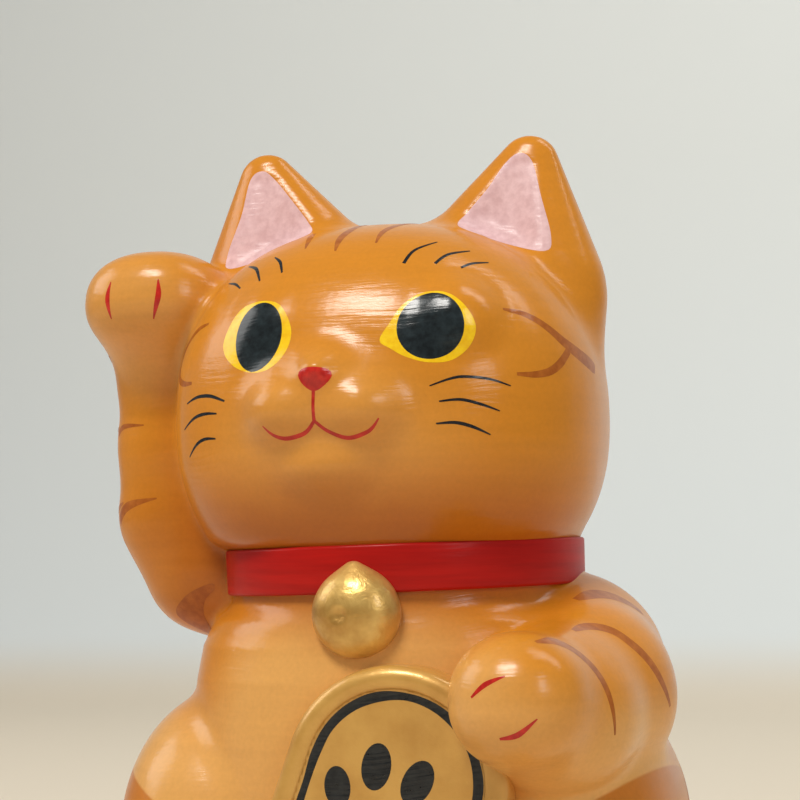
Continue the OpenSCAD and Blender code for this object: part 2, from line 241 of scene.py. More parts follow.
def tail_clay(p):
    """A short tail that drops from the back and is laid round the left haunch."""
    back, lie = torso_high[1], sole_z + 8.5
    tail = arm_clay(p, [(-14, back - 4, lie + 22, 6.8), (2, back + 1, lie + 12, 8.5),
                        (20, back - 2, lie + 1, 8.5),
                        (36, back - 12, lie, 8.5), (47, back - 24, lie, 6.2)], 6)
    return trim(tail, sole_z - p[2], 1.5)


CASTINGS = {
    "torso_casting": torso_clay, "head_casting": head_clay,
    "right_ear": ear_clay(RIGHT), "left_ear": ear_clay(LEFT),
    "raised_arm": raised_arm_clay, "lowered_arm": lowered_arm_clay,
    "right_hind_leg": hind_leg_clay(RIGHT), "left_hind_leg": hind_leg_clay(LEFT),
    "tail": tail_clay,
}
# how softly each casting's joint is sponged over
FILLETS = {"torso_casting": 0.5, "head_casting": 0.5, "right_ear": 6, "left_ear": 6, "raised_arm": 3.5,
           "lowered_arm": 3.5, "right_hind_leg": 4, "left_hind_leg": 4, "tail": 3}


def master(p):
    """Distance to the whole clay cat."""
    whole = None
    for name, clay in CASTINGS.items():
        whole = clay(p) if whole is None else press(whole, clay(p), FILLETS[name])
    return whole


def settle(field, p, times=3, reach=0.05):
    """Points moved onto a field's surface, and the surface's outward direction there."""
    for turn in range(times + 1):
        g = np.empty_like(p)
        for i in range(3):
            step = np.zeros((3, 1))
            step[i] = reach
            g[i] = (field(p + step) - field(p - step)) / (2 * reach)
        if turn < times:
            p = p - field(p) * g / np.maximum((g * g).sum(0), 0.05)
    return p, g / np.maximum(np.sqrt((g * g).sum(0)), 1e-6)


def take_surface(field, low, high, step):
    """A field's surface as a net of points, one to each cell that it crosses, and its triangles."""
    axes = [np.arange(low[i] - 2 * step, high[i] + 2 * step, step) for i in range(3)]
    shape = [len(a) for a in axes]
    values = np.empty(shape)
    for i in range(0, shape[0], 16):
        grid = np.meshgrid(axes[0][i:i + 16], axes[1], axes[2], indexing="ij")
        values[i:i + 16] = field(np.array([g.ravel() for g in grid])).reshape(grid[0].shape)
    inside = values < 0
    corners = np.array([(a, b, c) for a in (0, 1) for b in (0, 1) for c in (0, 1)])
    count = np.zeros([n - 1 for n in shape], np.int8)
    for o in corners:
        count += inside[o[0]:shape[0] - 1 + o[0], o[1]:shape[1] - 1 + o[1], o[2]:shape[2] - 1 + o[2]]
    cells = np.argwhere((count > 0) & (count < 8))
    number = np.full(count.shape, -1, np.int64)
    number[tuple(cells.T)] = np.arange(len(cells))
    total, hits = np.zeros((len(cells), 3)), np.zeros(len(cells))
    for o in corners:
        for k in range(3):
            if o[k]:
                continue
            far = o.copy()
            far[k] = 1
            a, b = values[tuple((cells + o).T)], values[tuple((cells + far).T)]
            crossed = (a < 0) != (b < 0)
            place = np.tile(o.astype(float), (len(cells), 1))
            place[:, k] += np.where(crossed, a / np.where(crossed, a - b, 1), 0)
            total[crossed] += place[crossed]
            hits += crossed
    points = np.array([a[0] for a in axes]) + (cells + total / hits[:, None]) * step
    triangles = []
    for k in range(3):
        u, v = (k + 1) % 3, (k + 2) % 3
        here = [slice(None)] * 3
        there = [slice(None)] * 3
        here[k], there[k] = slice(0, -1), slice(1, None)
        edges = np.argwhere(inside[tuple(here)] != inside[tuple(there)])
        ring = []
        for du, dv in ((-1, -1), (0, -1), (0, 0), (-1, 0)):
            cell = edges.copy()
            cell[:, u] += du
            cell[:, v] += dv
            ring.append(number[tuple(cell.T)])
        ring = np.stack(ring, 1)
        flip = ~inside[tuple(edges.T)]
        ring[flip] = ring[flip][:, ::-1]
        triangles += [ring[:, [0, 1, 2]], ring[:, [0, 2, 3]]]
    return points.T, np.concatenate(triangles)


def score_line(points, triangles, value):
    """Triangles split where a value changes sign, so that no triangle straddles the line."""
    value = value.copy()
    edges = triangles[:, [[0, 1], [1, 2], [2, 0]]].reshape(-1, 2)
    a, b = value[edges[:, 0]], value[edges[:, 1]]
    part = np.abs(a) / np.maximum(np.abs(a) + np.abs(b), 1e-12)
    value[edges[(a * b < 0) & (part < 0.2), 0]] = 0
    value[edges[(a * b < 0) & (part > 0.8), 1]] = 0
    sign = np.sign(value)[triangles]
    apart = sign.min(1) * sign.max(1) < 0
    whole, split = triangles[~apart], triangles[apart]
    sign = sign[apart]
    edges = np.sort(split[:, [[0, 1], [1, 2], [2, 0]]], axis=2)
    crossed = sign * np.roll(sign, -1, axis=1) < 0
    cut, back = np.unique(edges[crossed], axis=0, return_inverse=True)
    a, b = value[cut[:, 0]], value[cut[:, 1]]
    fresh = points[:, cut[:, 0]] + (points[:, cut[:, 1]] - points[:, cut[:, 0]]) * (a / (a - b))
    middle = np.full(crossed.shape, -1, np.int64)
    middle[crossed] = back.ravel() + points.shape[1]
    out = [whole]
    for k in range(3):
        m, n = (k + 1) % 3, (k + 2) % 3
        two = crossed[:, k] & crossed[:, n] & ~crossed[:, m]
        t, p, q = split[two], middle[two][:, k], middle[two][:, n]
        out += [np.stack([t[:, k], p, q], 1), np.stack([p, t[:, m], t[:, n]], 1),
                np.stack([p, t[:, n], q], 1)]
        one = crossed[:, m] & ~crossed[:, k] & ~crossed[:, n]
        t, p = split[one], middle[one][:, m]
        out += [np.stack([t[:, k], t[:, m], p], 1), np.stack([t[:, k], p, t[:, n]], 1)]
    return np.concatenate([points, fresh], 1), np.concatenate(out)


def new_mesh(name, points, faces, corner_normals=None, material=None):
    """An object whose mesh has these points, in millimetres, these faces and these normals."""
    mesh = bpy.data.meshes.new(name)
    mesh.from_pydata((np.asarray(points) * MM).tolist(), [], np.asarray(faces).tolist()
                     if isinstance(faces, np.ndarray) else faces)
    mesh.shade_smooth()
    if corner_normals is not None:
        mesh.normals_split_custom_set(corner_normals.tolist())
    piece = bpy.data.objects.new(name, mesh)
    bpy.context.scene.collection.objects.link(piece)
    if material:
        mesh.materials.append(material)
    return piece


clay_step = 1.25
clay, clay_triangles = take_surface(master, np.array(cad_box[0]) / MM - 3, np.array(cad_box[1]) / MM + 3,
                                    clay_step)
clay, clay_normals = settle(master, clay)
for name in CASTINGS:
    own = CASTINGS[name](clay)
    others = np.min([CASTINGS[other](clay) for other in CASTINGS if other != name], axis=0)
    clay, clay_triangles = score_line(clay, clay_triangles, own - others)
# the foot is left open for the disc that is set into it
foot_r = span("foot_disc")[1][0] - 0.3
clay, clay_triangles = score_line(clay, clay_triangles,
                                  np.where(clay[2] < sole_z + 1, np.hypot(clay[0], clay[1]) - foot_r, foot_r))
clay, clay_normals = settle(master, clay, times=2)
centres = clay[:, clay_triangles].mean(2)
share = np.argmin([CASTINGS[name](centres) for name in CASTINGS], axis=0)
share[(centres[2] < sole_z + 1) & (np.hypot(centres[0], centres[1]) < foot_r)] = -1
clay_share = dict(zip(CASTINGS, range(len(CASTINGS))))

# ---------------------------------------------------------------------------------------------
# Body casting. Slip-cast earthenware about 4.5 mm thick, from the foot to the neck. Apricot
# underglaze is sprayed on its chest and belly and ginger on its back, under a clear glaze.
# The shared colour group also darkens the raised elbow's crease and the throat under the chin as painted
# shade.
# ---------------------------------------------------------------------------------------------
WALL = 4.5
GINGER = (0.66, 0.240, 0.015)
DEEP_GINGER_AND_SHADE = (0.43, 0.105, 0.006)
APRICOT = (0.76, 0.385, 0.105)
TAWNY = (0.57, 0.175, 0.012)
PATCH_EDGE = (0.985, 1.0)


def node(tree, kind, place, inputs=(), **settings):
    """A node at a place in its tree. Each input takes a value, or a socket to be linked from."""
    made = tree.nodes.new(kind)
    made.location = (place[0] * 200, -place[1] * 180)
    for key, value in settings.items():
        setattr(made, key, value)
    for key, value in dict(inputs).items():
        if isinstance(value, bpy.types.NodeSocket):
            tree.links.new(value, made.inputs[key])
        else:
            made.inputs[key].default_value = value
    return made


def object_coords(tree):
    return node(tree, "ShaderNodeTexCoord", (-8, 0)).outputs["Object"]


def cloud(tree, place, coords, scale, detail=2.0, roughness=0.5, distortion=0.0, output="Fac"):
    """Soft noise at this scale."""
    return node(tree, "ShaderNodeTexNoise", place, {
        "Vector": coords, "Scale": scale, "Detail": detail, "Roughness": roughness,
        "Distortion": distortion}).outputs[output]


def stretch(tree, place, coords, scale):
    """Coordinates drawn out, so that what is laid on them runs level."""
    return node(tree, "ShaderNodeMapping", place, {"Vector": coords, "Scale": scale}).outputs[0]


def spread(tree, place, value, start, end, low, high, kind="LINEAR"):
    """A value between start and end brought to between low and high."""
    return node(tree, "ShaderNodeMapRange", place, {
        "Value": value, "From Min": start, "From Max": end, "To Min": low, "To Max": high},
        interpolation_type=kind).outputs[0]


def sums(tree, place, operation, a, b):
    """Two values added, or put together in another way."""
    return node(tree, "ShaderNodeMath", place, {0: a, 1: b}, operation=operation).outputs[0]


def soft_spot(tree, coords, row, centre, radii, start, end, edge=None):
    """A mask that is 1 inside a rounded spot on the skin and fades to 0 outside it."""
    shift = node(tree, "ShaderNodeVectorMath", (-4, row), {0: coords, 1: [c * MM for c in centre]},
                 operation="SUBTRACT")
    scale = node(tree, "ShaderNodeVectorMath", (-3, row), {0: shift.outputs[0], 1: [r * MM for r in radii]},
                 operation="DIVIDE")
    size = node(tree, "ShaderNodeVectorMath", (-2, row), {0: scale.outputs[0]}, operation="LENGTH")
    size = size.outputs["Value"]
    if edge:
        size = sums(tree, (-1.5, row), "ADD", size, edge)
    return spread(tree, (-1, row), size, start, end, 1, 0, "SMOOTHSTEP")


def mix_colour(tree, place, below, above, mask):
    """One colour over another; either may be a colour or a socket."""
    below, above = (colour + (1,) if isinstance(colour, tuple) else colour for colour in (below, above))
    return node(tree, "ShaderNodeMix", place, {0: mask, 6: below, 7: above}, data_type="RGBA").outputs[2]


def spray_colours_and_shade():
    """The underglaze colours, with painted shade under the chin and at the raised elbow, as one group, so
    that they run on across every joint.
    """
    tree = bpy.data.node_groups.new("sprayed underglaze and painted shade", "ShaderNodeTree")
    tree.interface.new_socket("Colour", in_out="OUTPUT", socket_type="NodeSocketColor")
    coords = object_coords(tree)
    drift = cloud(tree, (-6, 4), coords, 38.0, 3.0, 0.6)
    edge = spread(tree, (-5, 4), drift, 0, 1, -0.16, 0.16)
    # each sprayed place, and each place of painted shade: its colour, amount, centre, radii, and where its
    # edge starts and ends
    places = [
        (APRICOT, 1, (-4, -64, 60), (54, 40, 64), 0.75, 1.25),                                # chest
        (APRICOT, 0.45, (nose_x, -62, cheek_z - 12), (40, 26, 25), 0.35, 1.35),               # muzzle
        (APRICOT, 0.55, (head_low[0] - 9, -26, cheek_z + 26), (24, 22, 20), 0.55, 1.3),       # palm
        (APRICOT, 0.6, (44, -66, seam_z - 38), (20, 20, 17), 0.5, 1.25),                      # hand
        (APRICOT, 1, (-66, -38, 64), (34, 36, 24), 0.55, 1.3),                                # thighs
        (APRICOT, 1, (66, -38, 64), (34, 36, 24), 0.55, 1.3),
        (DEEP_GINGER_AND_SHADE, 0.3, (0, 66, 120), (88, 62, 140), 0.5, 1.25),                           # back
        # painted shade: darker ginger under the chin, where the head shades the throat
        (DEEP_GINGER_AND_SHADE, 0.85, (head_x, -22, seam_z + 6), (62, 46, 24), 0.5, 1.35),              # throat
        # painted shade: darker ginger in the crease where the raised elbow meets the body and head
        (DEEP_GINGER_AND_SHADE, 0.4, (-56, 2, seam_z + 8), (26, 30, 34), 0.4, 1.35),                    # elbow
        (TAWNY, 0.9, (-84, -22, 14), (66, 90, 56)) + PATCH_EDGE,                              # haunches
        (TAWNY, 0.9, (84, -22, 14), (66, 90, 56)) + PATCH_EDGE]
    colour = GINGER
    for row, (paint, amount, centre, radii, start, end) in enumerate(places):
        crisp = (start, end) == PATCH_EDGE
        mask = soft_spot(tree, coords, 2 * row, centre, radii, start, end, None if crisp else edge)
        mask = sums(tree, (0, 2 * row), "MULTIPLY", mask, amount)
        colour = mix_colour(tree, (1 + row, 0), colour, paint, mask)
    # fine spatter from the spray, and faint streaks where it was evened with a brush
    spatter = cloud(tree, (-2, -4), coords, 900.0)
    streaks = cloud(tree, (-2, -2), stretch(tree, (-3, -2), coords, (30, 30, 420)), 1.0, 4.0)
    level = spread(tree, (1, -2), sums(tree, (0, -2), "ADD", spatter, streaks), 0.6, 1.4, 0.94, 1.06)
    tone = node(tree, "ShaderNodeHueSaturation", (13, 0), {"Color": colour, "Value": level})
    node(tree, "NodeGroupOutput", (14, 0), {0: tone.outputs[0]})
    return tree


def bump(tree, place, height, strength, distance, under=None):
    """Fine relief: a height in the paint turned into a change of its surface's direction."""
    inputs = {"Height": height, "Strength": strength, "Distance": distance}
    if under:
        inputs["Normal"] = under
    return node(tree, "ShaderNodeBump", place, inputs).outputs[0]


def brushed_coat():
    """The clear coat's own surface as a group: fine level ripples left by a wide brush."""
    tree = bpy.data.node_groups.new("brushed clear coat", "ShaderNodeTree")
    tree.interface.new_socket("Normal", in_out="OUTPUT", socket_type="NodeSocketVector")
    coords = object_coords(tree)
    bend = cloud(tree, (-4, 2), coords, 22.0, 1.0, output="Color")
    sway = node(tree, "ShaderNodeVectorMath", (-3, 2), {0: bend, "Scale": 0.012}, operation="SCALE")
    moved = node(tree, "ShaderNodeVectorMath", (-3, 0), {0: coords, 1: sway.outputs[0]}, operation="ADD")
    hairs = cloud(tree, (-1, 0), stretch(tree, (-2, 0), moved.outputs[0], (55, 55, 1150)), 1.0, 3.0, 0.55)
    pool = cloud(tree, (-1, 2), coords, 150.0)
    broad = bump(tree, (0, 2), pool, 0.25, 0.0006)
    node(tree, "NodeGroupOutput", (3, 0), {0: bump(tree, (1, 0), hairs, 0.32, 0.00035, broad)})
    return tree


sprayed = spray_colours_and_shade()
coat_surface = brushed_coat()


def finish(name, **values):
    """A material with a shader whose inputs have these values."""
    material = bpy.data.materials.new(name)
    material.use_nodes = True
    shader = material.node_tree.nodes["Principled BSDF"]
    for key, value in values.items():
        shader.inputs[key.replace("_", " ")].default_value = value
    return material, material.node_tree, shader


def glaze(name, roughness=0.42, coat=0.7, coat_roughness=0.2):
    """Underglaze or enamel below the brushed clear coat."""
    material, tree, shader = finish(name, Roughness=roughness, Specular_IOR_Level=0.04, Coat_Weight=coat,
                                    Coat_Roughness=coat_roughness)
    surface = node(tree, "ShaderNodeGroup", (-2, 3), node_tree=coat_surface)
    tree.links.new(surface.outputs[0], shader.inputs["Coat Normal"])
    return material, tree, shader


def sprayed_glaze_and_shade(name):
    """The sprayed underglaze and its painted shade under the coat."""
    material, tree, shader = glaze(name)
    paint = node(tree, "ShaderNodeGroup", (-2, 0), node_tree=sprayed)
    tree.links.new(paint.outputs[0], shader.inputs["Base Color"])
    return material


def known_as(piece, replaced=None, body="cat"):
    """Ties a finished piece to its body, and hides the part that it stands for."""
    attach(piece, body)
    if replaced:
        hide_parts(replaced)
    return piece


def cast(name, material):
    """One casting: its share of the clay surface given its wall, closed along the luted edge."""
    own = clay_triangles[share == clay_share[name]]
    used, faces = np.unique(own, return_inverse=True)
    faces = faces.reshape(own.shape)
    outer, out_normals = clay[:, used].T, clay_normals[:, used].T
    count = len(used)
    edges = faces[:, [[0, 1], [1, 2], [2, 0]]].reshape(-1, 2)
    keys = {(a, b) for a, b in edges.tolist()}
    rim = [(a, b) for a, b in edges.tolist() if (b, a) not in keys]
    inner = outer - out_normals * WALL
    walls = np.array([face for a, b in rim for face in ((b, a, a + count), (b, a + count, b + count))])
    points = np.concatenate([outer, inner])
    every = np.concatenate([faces, faces[:, ::-1] + count, walls])
    flat = np.cross(points[walls[:, 1]] - points[walls[:, 0]], points[walls[:, 2]] - points[walls[:, 0]])
    flat /= np.maximum(np.linalg.norm(flat, axis=1, keepdims=True), 1e-9)
    corner_normals = np.concatenate([out_normals[faces.ravel()], -out_normals[faces[:, ::-1].ravel()],
                                     np.repeat(flat, 3, axis=0)])
    piece = new_mesh(name.replace("_casting", "") + "_glazed", points, every, corner_normals, material)
    return known_as(piece, name)


cast("torso_casting", sprayed_glaze_and_shade("peach glaze"))

# ---------------------------------------------------------------------------------------------
# Head casting, luted on at the neck. Sprayed ginger, paler about the muzzle and chin, and
# given the same clear glaze; the face is painted on it later.
# Under the chin, at the throat, the ginger is darkened as painted shade.
# ---------------------------------------------------------------------------------------------
ginger_glaze = sprayed_glaze_and_shade("ginger glaze")
cast("head_casting", ginger_glaze)

# ---------------------------------------------------------------------------------------------
# Ears. Two small castings luted on the crown and sponged smooth into it, hollowed in front.
# ---------------------------------------------------------------------------------------------
cast("right_ear", ginger_glaze)
cast("left_ear", ginger_glaze)

# ---------------------------------------------------------------------------------------------
# Raised arm. The beckoning arm is one casting from shoulder to bent paw, luted along the side
# of the body and the cheek.
# ---------------------------------------------------------------------------------------------
cast("raised_arm", ginger_glaze)

# ---------------------------------------------------------------------------------------------
# Lowered arm. It comes round from the left shoulder and lays its paw on the coin's edge.
# ---------------------------------------------------------------------------------------------
cast("lowered_arm", ginger_glaze)

# ---------------------------------------------------------------------------------------------
# Hind legs. Haunch and foot in one casting on each side, luted to the body and level with it.
# ---------------------------------------------------------------------------------------------
cast("right_hind_leg", ginger_glaze)
cast("left_hind_leg", ginger_glaze)

# ---------------------------------------------------------------------------------------------
# Tail. A hand-rolled piece laid from the back round the left haunch.
# ---------------------------------------------------------------------------------------------
cast("tail", ginger_glaze)


# ---------------------------------------------------------------------------------------------
# Collar. A flat band of clay laid round the neck, its edges softened with a sponge, then
# brushed with red enamel under the clear coat. It rides a little higher on the left.
# ---------------------------------------------------------------------------------------------
BAND_T, BAND_ROUND, BAND_RISE = 2.0, 0.8, 0.022


def ramp(tree, place, value, low, low_colour, high, high_colour):
    """Two colours, one below a value and one above another, and a blend between."""
    made = node(tree, "ShaderNodeValToRGB", place, {0: value})
    for stop, position, colour in zip(made.color_ramp.elements, (low, high), (low_colour, high_colour)):
        stop.position, stop.color = position, colour + (1,)
    return made.outputs[0]


red_enamel, tree, shader = glaze("red enamel", 0.5, 0.3, 0.28)
brushed = cloud(tree, (-4, 0), stretch(tree, (-5, 0), object_coords(tree), (26, 26, 420)), 1.0, 4.0, 0.6)
tree.links.new(ramp(tree, (-3, 0), brushed, 0.3, (0.36, 0.006, 0.004), 0.72, (0.52, 0.010, 0.006)),
               shader.inputs["Base Color"])


def shaping(name, **inputs):
    """A new node tree for a shape, its input node, and a way to close it."""
    tree = bpy.data.node_groups.new(name, "GeometryNodeTree")
    tree.interface.new_socket("Geometry", in_out="INPUT", socket_type="NodeSocketGeometry")
    for label, kind in inputs.items():
        tree.interface.new_socket(label.replace("_", " "), in_out="INPUT", socket_type="NodeSocket" + kind)
    tree.interface.new_socket("Geometry", in_out="OUTPUT", socket_type="NodeSocketGeometry")
    enter = node(tree, "NodeGroupInput", (-8, 0))

    def close(shape):
        real = node(tree, "GeometryNodeRealizeInstances", (3, 0), {0: shape})
        paint = node(tree, "GeometryNodeSetMaterial", (4, 0), {
            "Geometry": real.outputs[0], "Material": enter.outputs["Enamel"]})
        node(tree, "NodeGroupOutput", (5, 0), {0: paint.outputs[0]})
    return tree, enter, close


band, enter, close = shaping("clay band", Neck_radius="Float", Band_height="Float", Band_thickness="Float",
                             Middle_height="Float", Rise="Float", Enamel="Material")
path = node(band, "GeometryNodeCurvePrimitiveCircle", (-6, 0), {
    "Resolution": 220, "Radius": enter.outputs["Neck radius"]})
across = node(band, "ShaderNodeSeparateXYZ", (-5, 3), {
    0: node(band, "GeometryNodeInputPosition", (-6, 3)).outputs[0]}).outputs["X"]
climb = sums(band, (-4, 3), "MULTIPLY", across, enter.outputs["Rise"])
lift = sums(band, (-3, 3), "ADD", climb, enter.outputs["Middle height"])
laid = node(band, "GeometryNodeSetPosition", (-1, 0), {
    "Geometry": path.outputs[0],
    "Offset": node(band, "ShaderNodeCombineXYZ", (-2, 3), {"Z": lift}).outputs[0]})
section = node(band, "GeometryNodeCurvePrimitiveQuadrilateral", (-5, 6), {
    "Width": sums(band, (-6, 6), "MULTIPLY", enter.outputs["Band thickness"], 2),
    "Height": enter.outputs["Band height"]})
soften = node(band, "GeometryNodeFilletCurve", (-4, 6), {
    "Curve": section.outputs[0], "Count": 4, "Radius": BAND_ROUND * MM}, mode="POLY")
close(node(band, "GeometryNodeCurveToMesh", (0, 0), {
    "Curve": laid.outputs[0], "Profile Curve": soften.outputs[0]}).outputs[0])


def bake(name, tree, values, start=None):
    """Runs a node tree once with these inputs and keeps the result as a plain mesh."""
    holder = bpy.data.objects.new(name + "_blank", start or bpy.data.meshes.new(name + "_blank"))
    bpy.context.scene.collection.objects.link(holder)
    modifier = holder.modifiers.new(tree.name, "NODES")
    modifier.node_group = tree
    for item in tree.interface.items_tree:
        if item.in_out == "INPUT" and item.name in values:
            modifier[item.identifier] = values[item.name]
    bpy.context.view_layer.update()
    result = bpy.data.meshes.new_from_object(holder.evaluated_get(bpy.context.evaluated_depsgraph_get()))
    bpy.data.objects.remove(holder)
    result.name = name
    piece = bpy.data.objects.new(name, result)
    bpy.context.scene.collection.objects.link(piece)
    return piece


def outward(piece):
    """Merges doubles and turns a closed shell's faces outwards."""
    work = bmesh.new()
    work.from_mesh(piece.data)
    bmesh.ops.remove_doubles(work, verts=work.verts, dist=1e-6)
    bmesh.ops.recalc_face_normals(work, faces=work.faces)
    work.to_mesh(piece.data)
    work.free()
    piece.data.shade_smooth()


collar = bake("collar_band", band, {
    "Neck radius": neck_r * MM, "Band height": (collar_high[2] - collar_low[2]) * MM,
    "Band thickness": BAND_T * MM, "Middle height": (collar_low[2] + collar_high[2]) / 2 * MM,
    "Rise": BAND_RISE, "Enamel": red_enamel})
outward(collar)
known_as(collar, "collar")

# ---------------------------------------------------------------------------------------------
# Bell. A solid pressed drop of clay hanging from a lug on the collar, dimpled with a fingertip
# and brushed with gold lustre, which dries in fine wrinkles.
# ---------------------------------------------------------------------------------------------
GOLD = (0.78, 0.50, 0.14)
DARK_GOLD = (0.48, 0.24, 0.042)
TAN_GOLD = (0.60, 0.31, 0.060)
WARM_GOLD = (0.70, 0.39, 0.088)


def lustre(name, wrinkle, metal, thin, thick):
    """Gold lustre: a metal film with brush wrinkles, browner where it lies thin."""
    material, tree, shader = finish(name, Metallic=metal, Coat_Weight=0.35, Coat_Roughness=0.12)
    coords = object_coords(tree)
    worm = cloud(tree, (-6, 2), coords, 230.0, 4.0, 0.6, 0.7)
    colour = ramp(tree, (-4, 0), cloud(tree, (-6, 0), coords, 70.0, 4.0, 0.6), 0.34, thin, 0.60, thick)
    low = bump(tree, (-3, 4), worm, wrinkle, 0.0012)
    high = bump(tree, (-2, 4), cloud(tree, (-6, 4), coords, 1500.0), 0.12, 0.0002, low)
    rough = spread(tree, (-4, 2), worm, 0, 1, 0.24, 0.48)
    for socket, label in ((colour, "Base Color"), (rough, "Roughness"), (high, "Normal")):
        tree.links.new(socket, shader.inputs[label])
    return material


bell_low, bell_high = span("bell")
bell_x = (bell_low[0] + bell_high[0]) / 2
bell_r = (bell_high[0] - bell_low[0]) / 2
bell_z = bell_low[2] + bell_r
bell_front = bell_low[1]


def bell_clay(p):
    flat = [p[0], (p[1] - bell_front - 8.4) / 0.72, p[2]]
    bowl = ball(flat, (bell_x, 0, bell_z - 0.6), (bell_r * 0.96, bell_r * 0.98, bell_r * 0.94))
    lug = roll(flat, (bell_x, 0, bell_z + 2), (bell_x - 0.5, -0.6, bell_high[2] - 2.6), bell_r * 0.68, 2.6)
    drop = press(bowl, lug, 3) * 0.8
    dimple = ball(p, (bell_x - 2.6, bell_front - 0.4, bell_z - 0.6), (1.9, 1.5, 1.7))
    return trim(drop, -dimple, 1.4)


def press_mould(field, low, high, step):
    """A solid piece pressed in its own small mould: its points, triangles and directions."""
    points, triangles = take_surface(field, low, high, step)
    points, normals = settle(field, points)
    return points.T, triangles, normals.T


def pressed(name, mould, material):
    points, triangles, normals = mould
    return new_mesh(name, points, triangles, normals[triangles.ravel()], material)


bell_mould = press_mould(bell_clay, bell_low - 2, bell_high + np.array([2, 14, 2]), 0.55)
known_as(pressed("bell_drop", bell_mould, lustre("gold lustre", 0.32, 0.5, DARK_GOLD, GOLD)),
         "bell")

# ---------------------------------------------------------------------------------------------
# Coin. A long oval koban pressed in clay with a round raised rim, leaned on the belly and
# covered with the same lustre, thinner and browner in its field.
# ---------------------------------------------------------------------------------------------
coin_r = 28
coin_front = coin_low[1]
coin_head = np.array([coin_high[0] - coin_r, coin_high[2] - coin_r])
coin_foot = np.array([coin_low[0] + coin_r, coin_low[2] + coin_r])


def coin_outline(p):
    """Distance to the coin's oval outline, seen from the front."""
    ab = coin_foot - coin_head
    t = np.clip(((p[0] - coin_head[0]) * ab[0] + (p[2] - coin_head[1]) * ab[1]) / float(ab @ ab), 0, 1)
    return np.hypot(p[0] - coin_head[0] - t * ab[0], p[2] - coin_head[1] - t * ab[1]) - coin_r


def coin_clay(p):
    edge = coin_outline(p)
    slab = np.hypot(np.maximum(edge + 3, 0), np.maximum(coin_front + 3.2 - p[1], 0)) - 3
    slab = np.maximum(slab, edge)
    slab = np.maximum(slab, p[1] - coin_front - 10)
    rim = np.hypot(edge + 3.3, (p[1] - coin_front - 2.9)) - 2.9
    field = np.maximum(edge + 5.4, p[1] - coin_front - 1.3)
    return press(trim(slab, -field, 0.8), rim, 0.8)


coin_mould = press_mould(coin_clay, coin_low - 2, coin_high + np.array([2, 5, 2]), 0.8)
known_as(pressed("koban_coin_pressed", coin_mould, lustre("coin lustre", 0.08, 0.28, TAN_GOLD, WARM_GOLD)),
         "koban_coin")

# ---------------------------------------------------------------------------------------------
# Painted face. Overglaze enamels laid on with fine brushes: yellow irises, black pupils, the
# red nose and mouth, brows and whiskers. Each mark is a thin film that follows the skin.
# ---------------------------------------------------------------------------------------------
FILM = 0.11
FILM_EDGE, FILM_SUNK = 0.25, -0.6      # shares of the film: thin at its edge, and let into the skin
EASEL = 200


def smooth_path(path, pitch, closed=False):
    """A smooth line through points, each with any further values, at an even pitch."""
    p = np.array(path, float)
    n = len(p)
    spans = n if closed else n - 1
    out = []
    for i in range(spans):
        a, b, c, d = (p[(i + k) % n] if closed else p[min(max(i + k, 0), n - 1)] for k in (-1, 0, 1, 2))
        steps = max(2, int(np.linalg.norm(c[:2] - b[:2]) / pitch))
        for t in np.arange(steps) / steps:
            out.append(0.5 * (2 * b + (c - a) * t + (2 * a - 5 * b + 4 * c - d) * t ** 2
                              + (3 * b - a - 3 * c + d) * t ** 3))
    if not closed:
        out.append(p[-1])
    return np.array(out)


def stroke(path, closed=False, pitch=0.7):
    """One brush stroke through (across, up, width) points: flat points, edge flags and faces."""
    line = smooth_path(path, pitch, closed)
    ahead = np.roll(line, -1, 0) - np.roll(line, 1, 0)
    if not closed:
        ahead[0], ahead[-1] = line[1] - line[0], line[-1] - line[-2]
    along = ahead[:, :2] / np.maximum(np.linalg.norm(ahead[:, :2], axis=1, keepdims=True), 1e-9)
    side = np.stack([-along[:, 1], along[:, 0]], 1)
    half = np.maximum(line[:, 2:3], 0.12) / 2
    across = (-1, -0.62, 0, 0.62, 1)
    points = np.concatenate([line[:, None, :2] + side[:, None] * half[:, None] * a for a in across],
                            1).reshape(-1, 2)
    rows = len(line)
    edge = np.tile([1.0, 0, 0, 0, 1.0], rows)
    if not closed:
        edge[:5] = edge[-5:] = 1
    faces = [(5 * (i % rows) + k, 5 * (i % rows) + k + 1, 5 * ((i + 1) % rows) + k + 1,
              5 * ((i + 1) % rows) + k)
             for i in range(rows if closed else rows - 1) for k in range(4)]
    return points, edge, faces


def spot(outline, pitch=0.8):
    """A filled shape inside a smooth closed outline: flat points, edge flags and faces."""
    rim = smooth_path(outline, pitch, closed=True)[:, :2]
    if np.sum(rim[:, 0] * np.roll(rim[:, 1], -1) - rim[:, 1] * np.roll(rim[:, 0], -1)) > 0:
        rim = rim[::-1]
    middle = rim.mean(0)
    reach = np.linalg.norm(rim - middle, axis=1).max()
    rings = max(3, int(reach / 1.0))
    scales = [1.0, 1 - 0.25 / reach] + [1 - (i + 1) / (rings + 1) for i in range(rings)]
    points = np.concatenate([middle + (rim - middle) * s for s in scales] + [middle[None]])
    count = len(rim)
    edge = np.zeros(len(points))
    edge[:count] = 1
    faces = [(r * count + i, r * count + (i + 1) % count, (r + 1) * count + (i + 1) % count,
              (r + 1) * count + i)
             for r in range(len(scales) - 1) for i in range(count)]
    last = (len(scales) - 1) * count
    faces += [(last + i, last + (i + 1) % count, len(points) - 1) for i in range(count)]
    return points, edge, faces


def oval(x, z, half_w, half_h, lean=0):
    s, c = math.sin(math.radians(lean)), math.cos(math.radians(lean))
    ring = [(half_w * math.cos(a), half_h * math.sin(a)) for a in np.arange(0, 2 * math.pi, math.pi / 8)]
    return [(x + c * u + s * v, z - s * u + c * v) for u, v in ring]


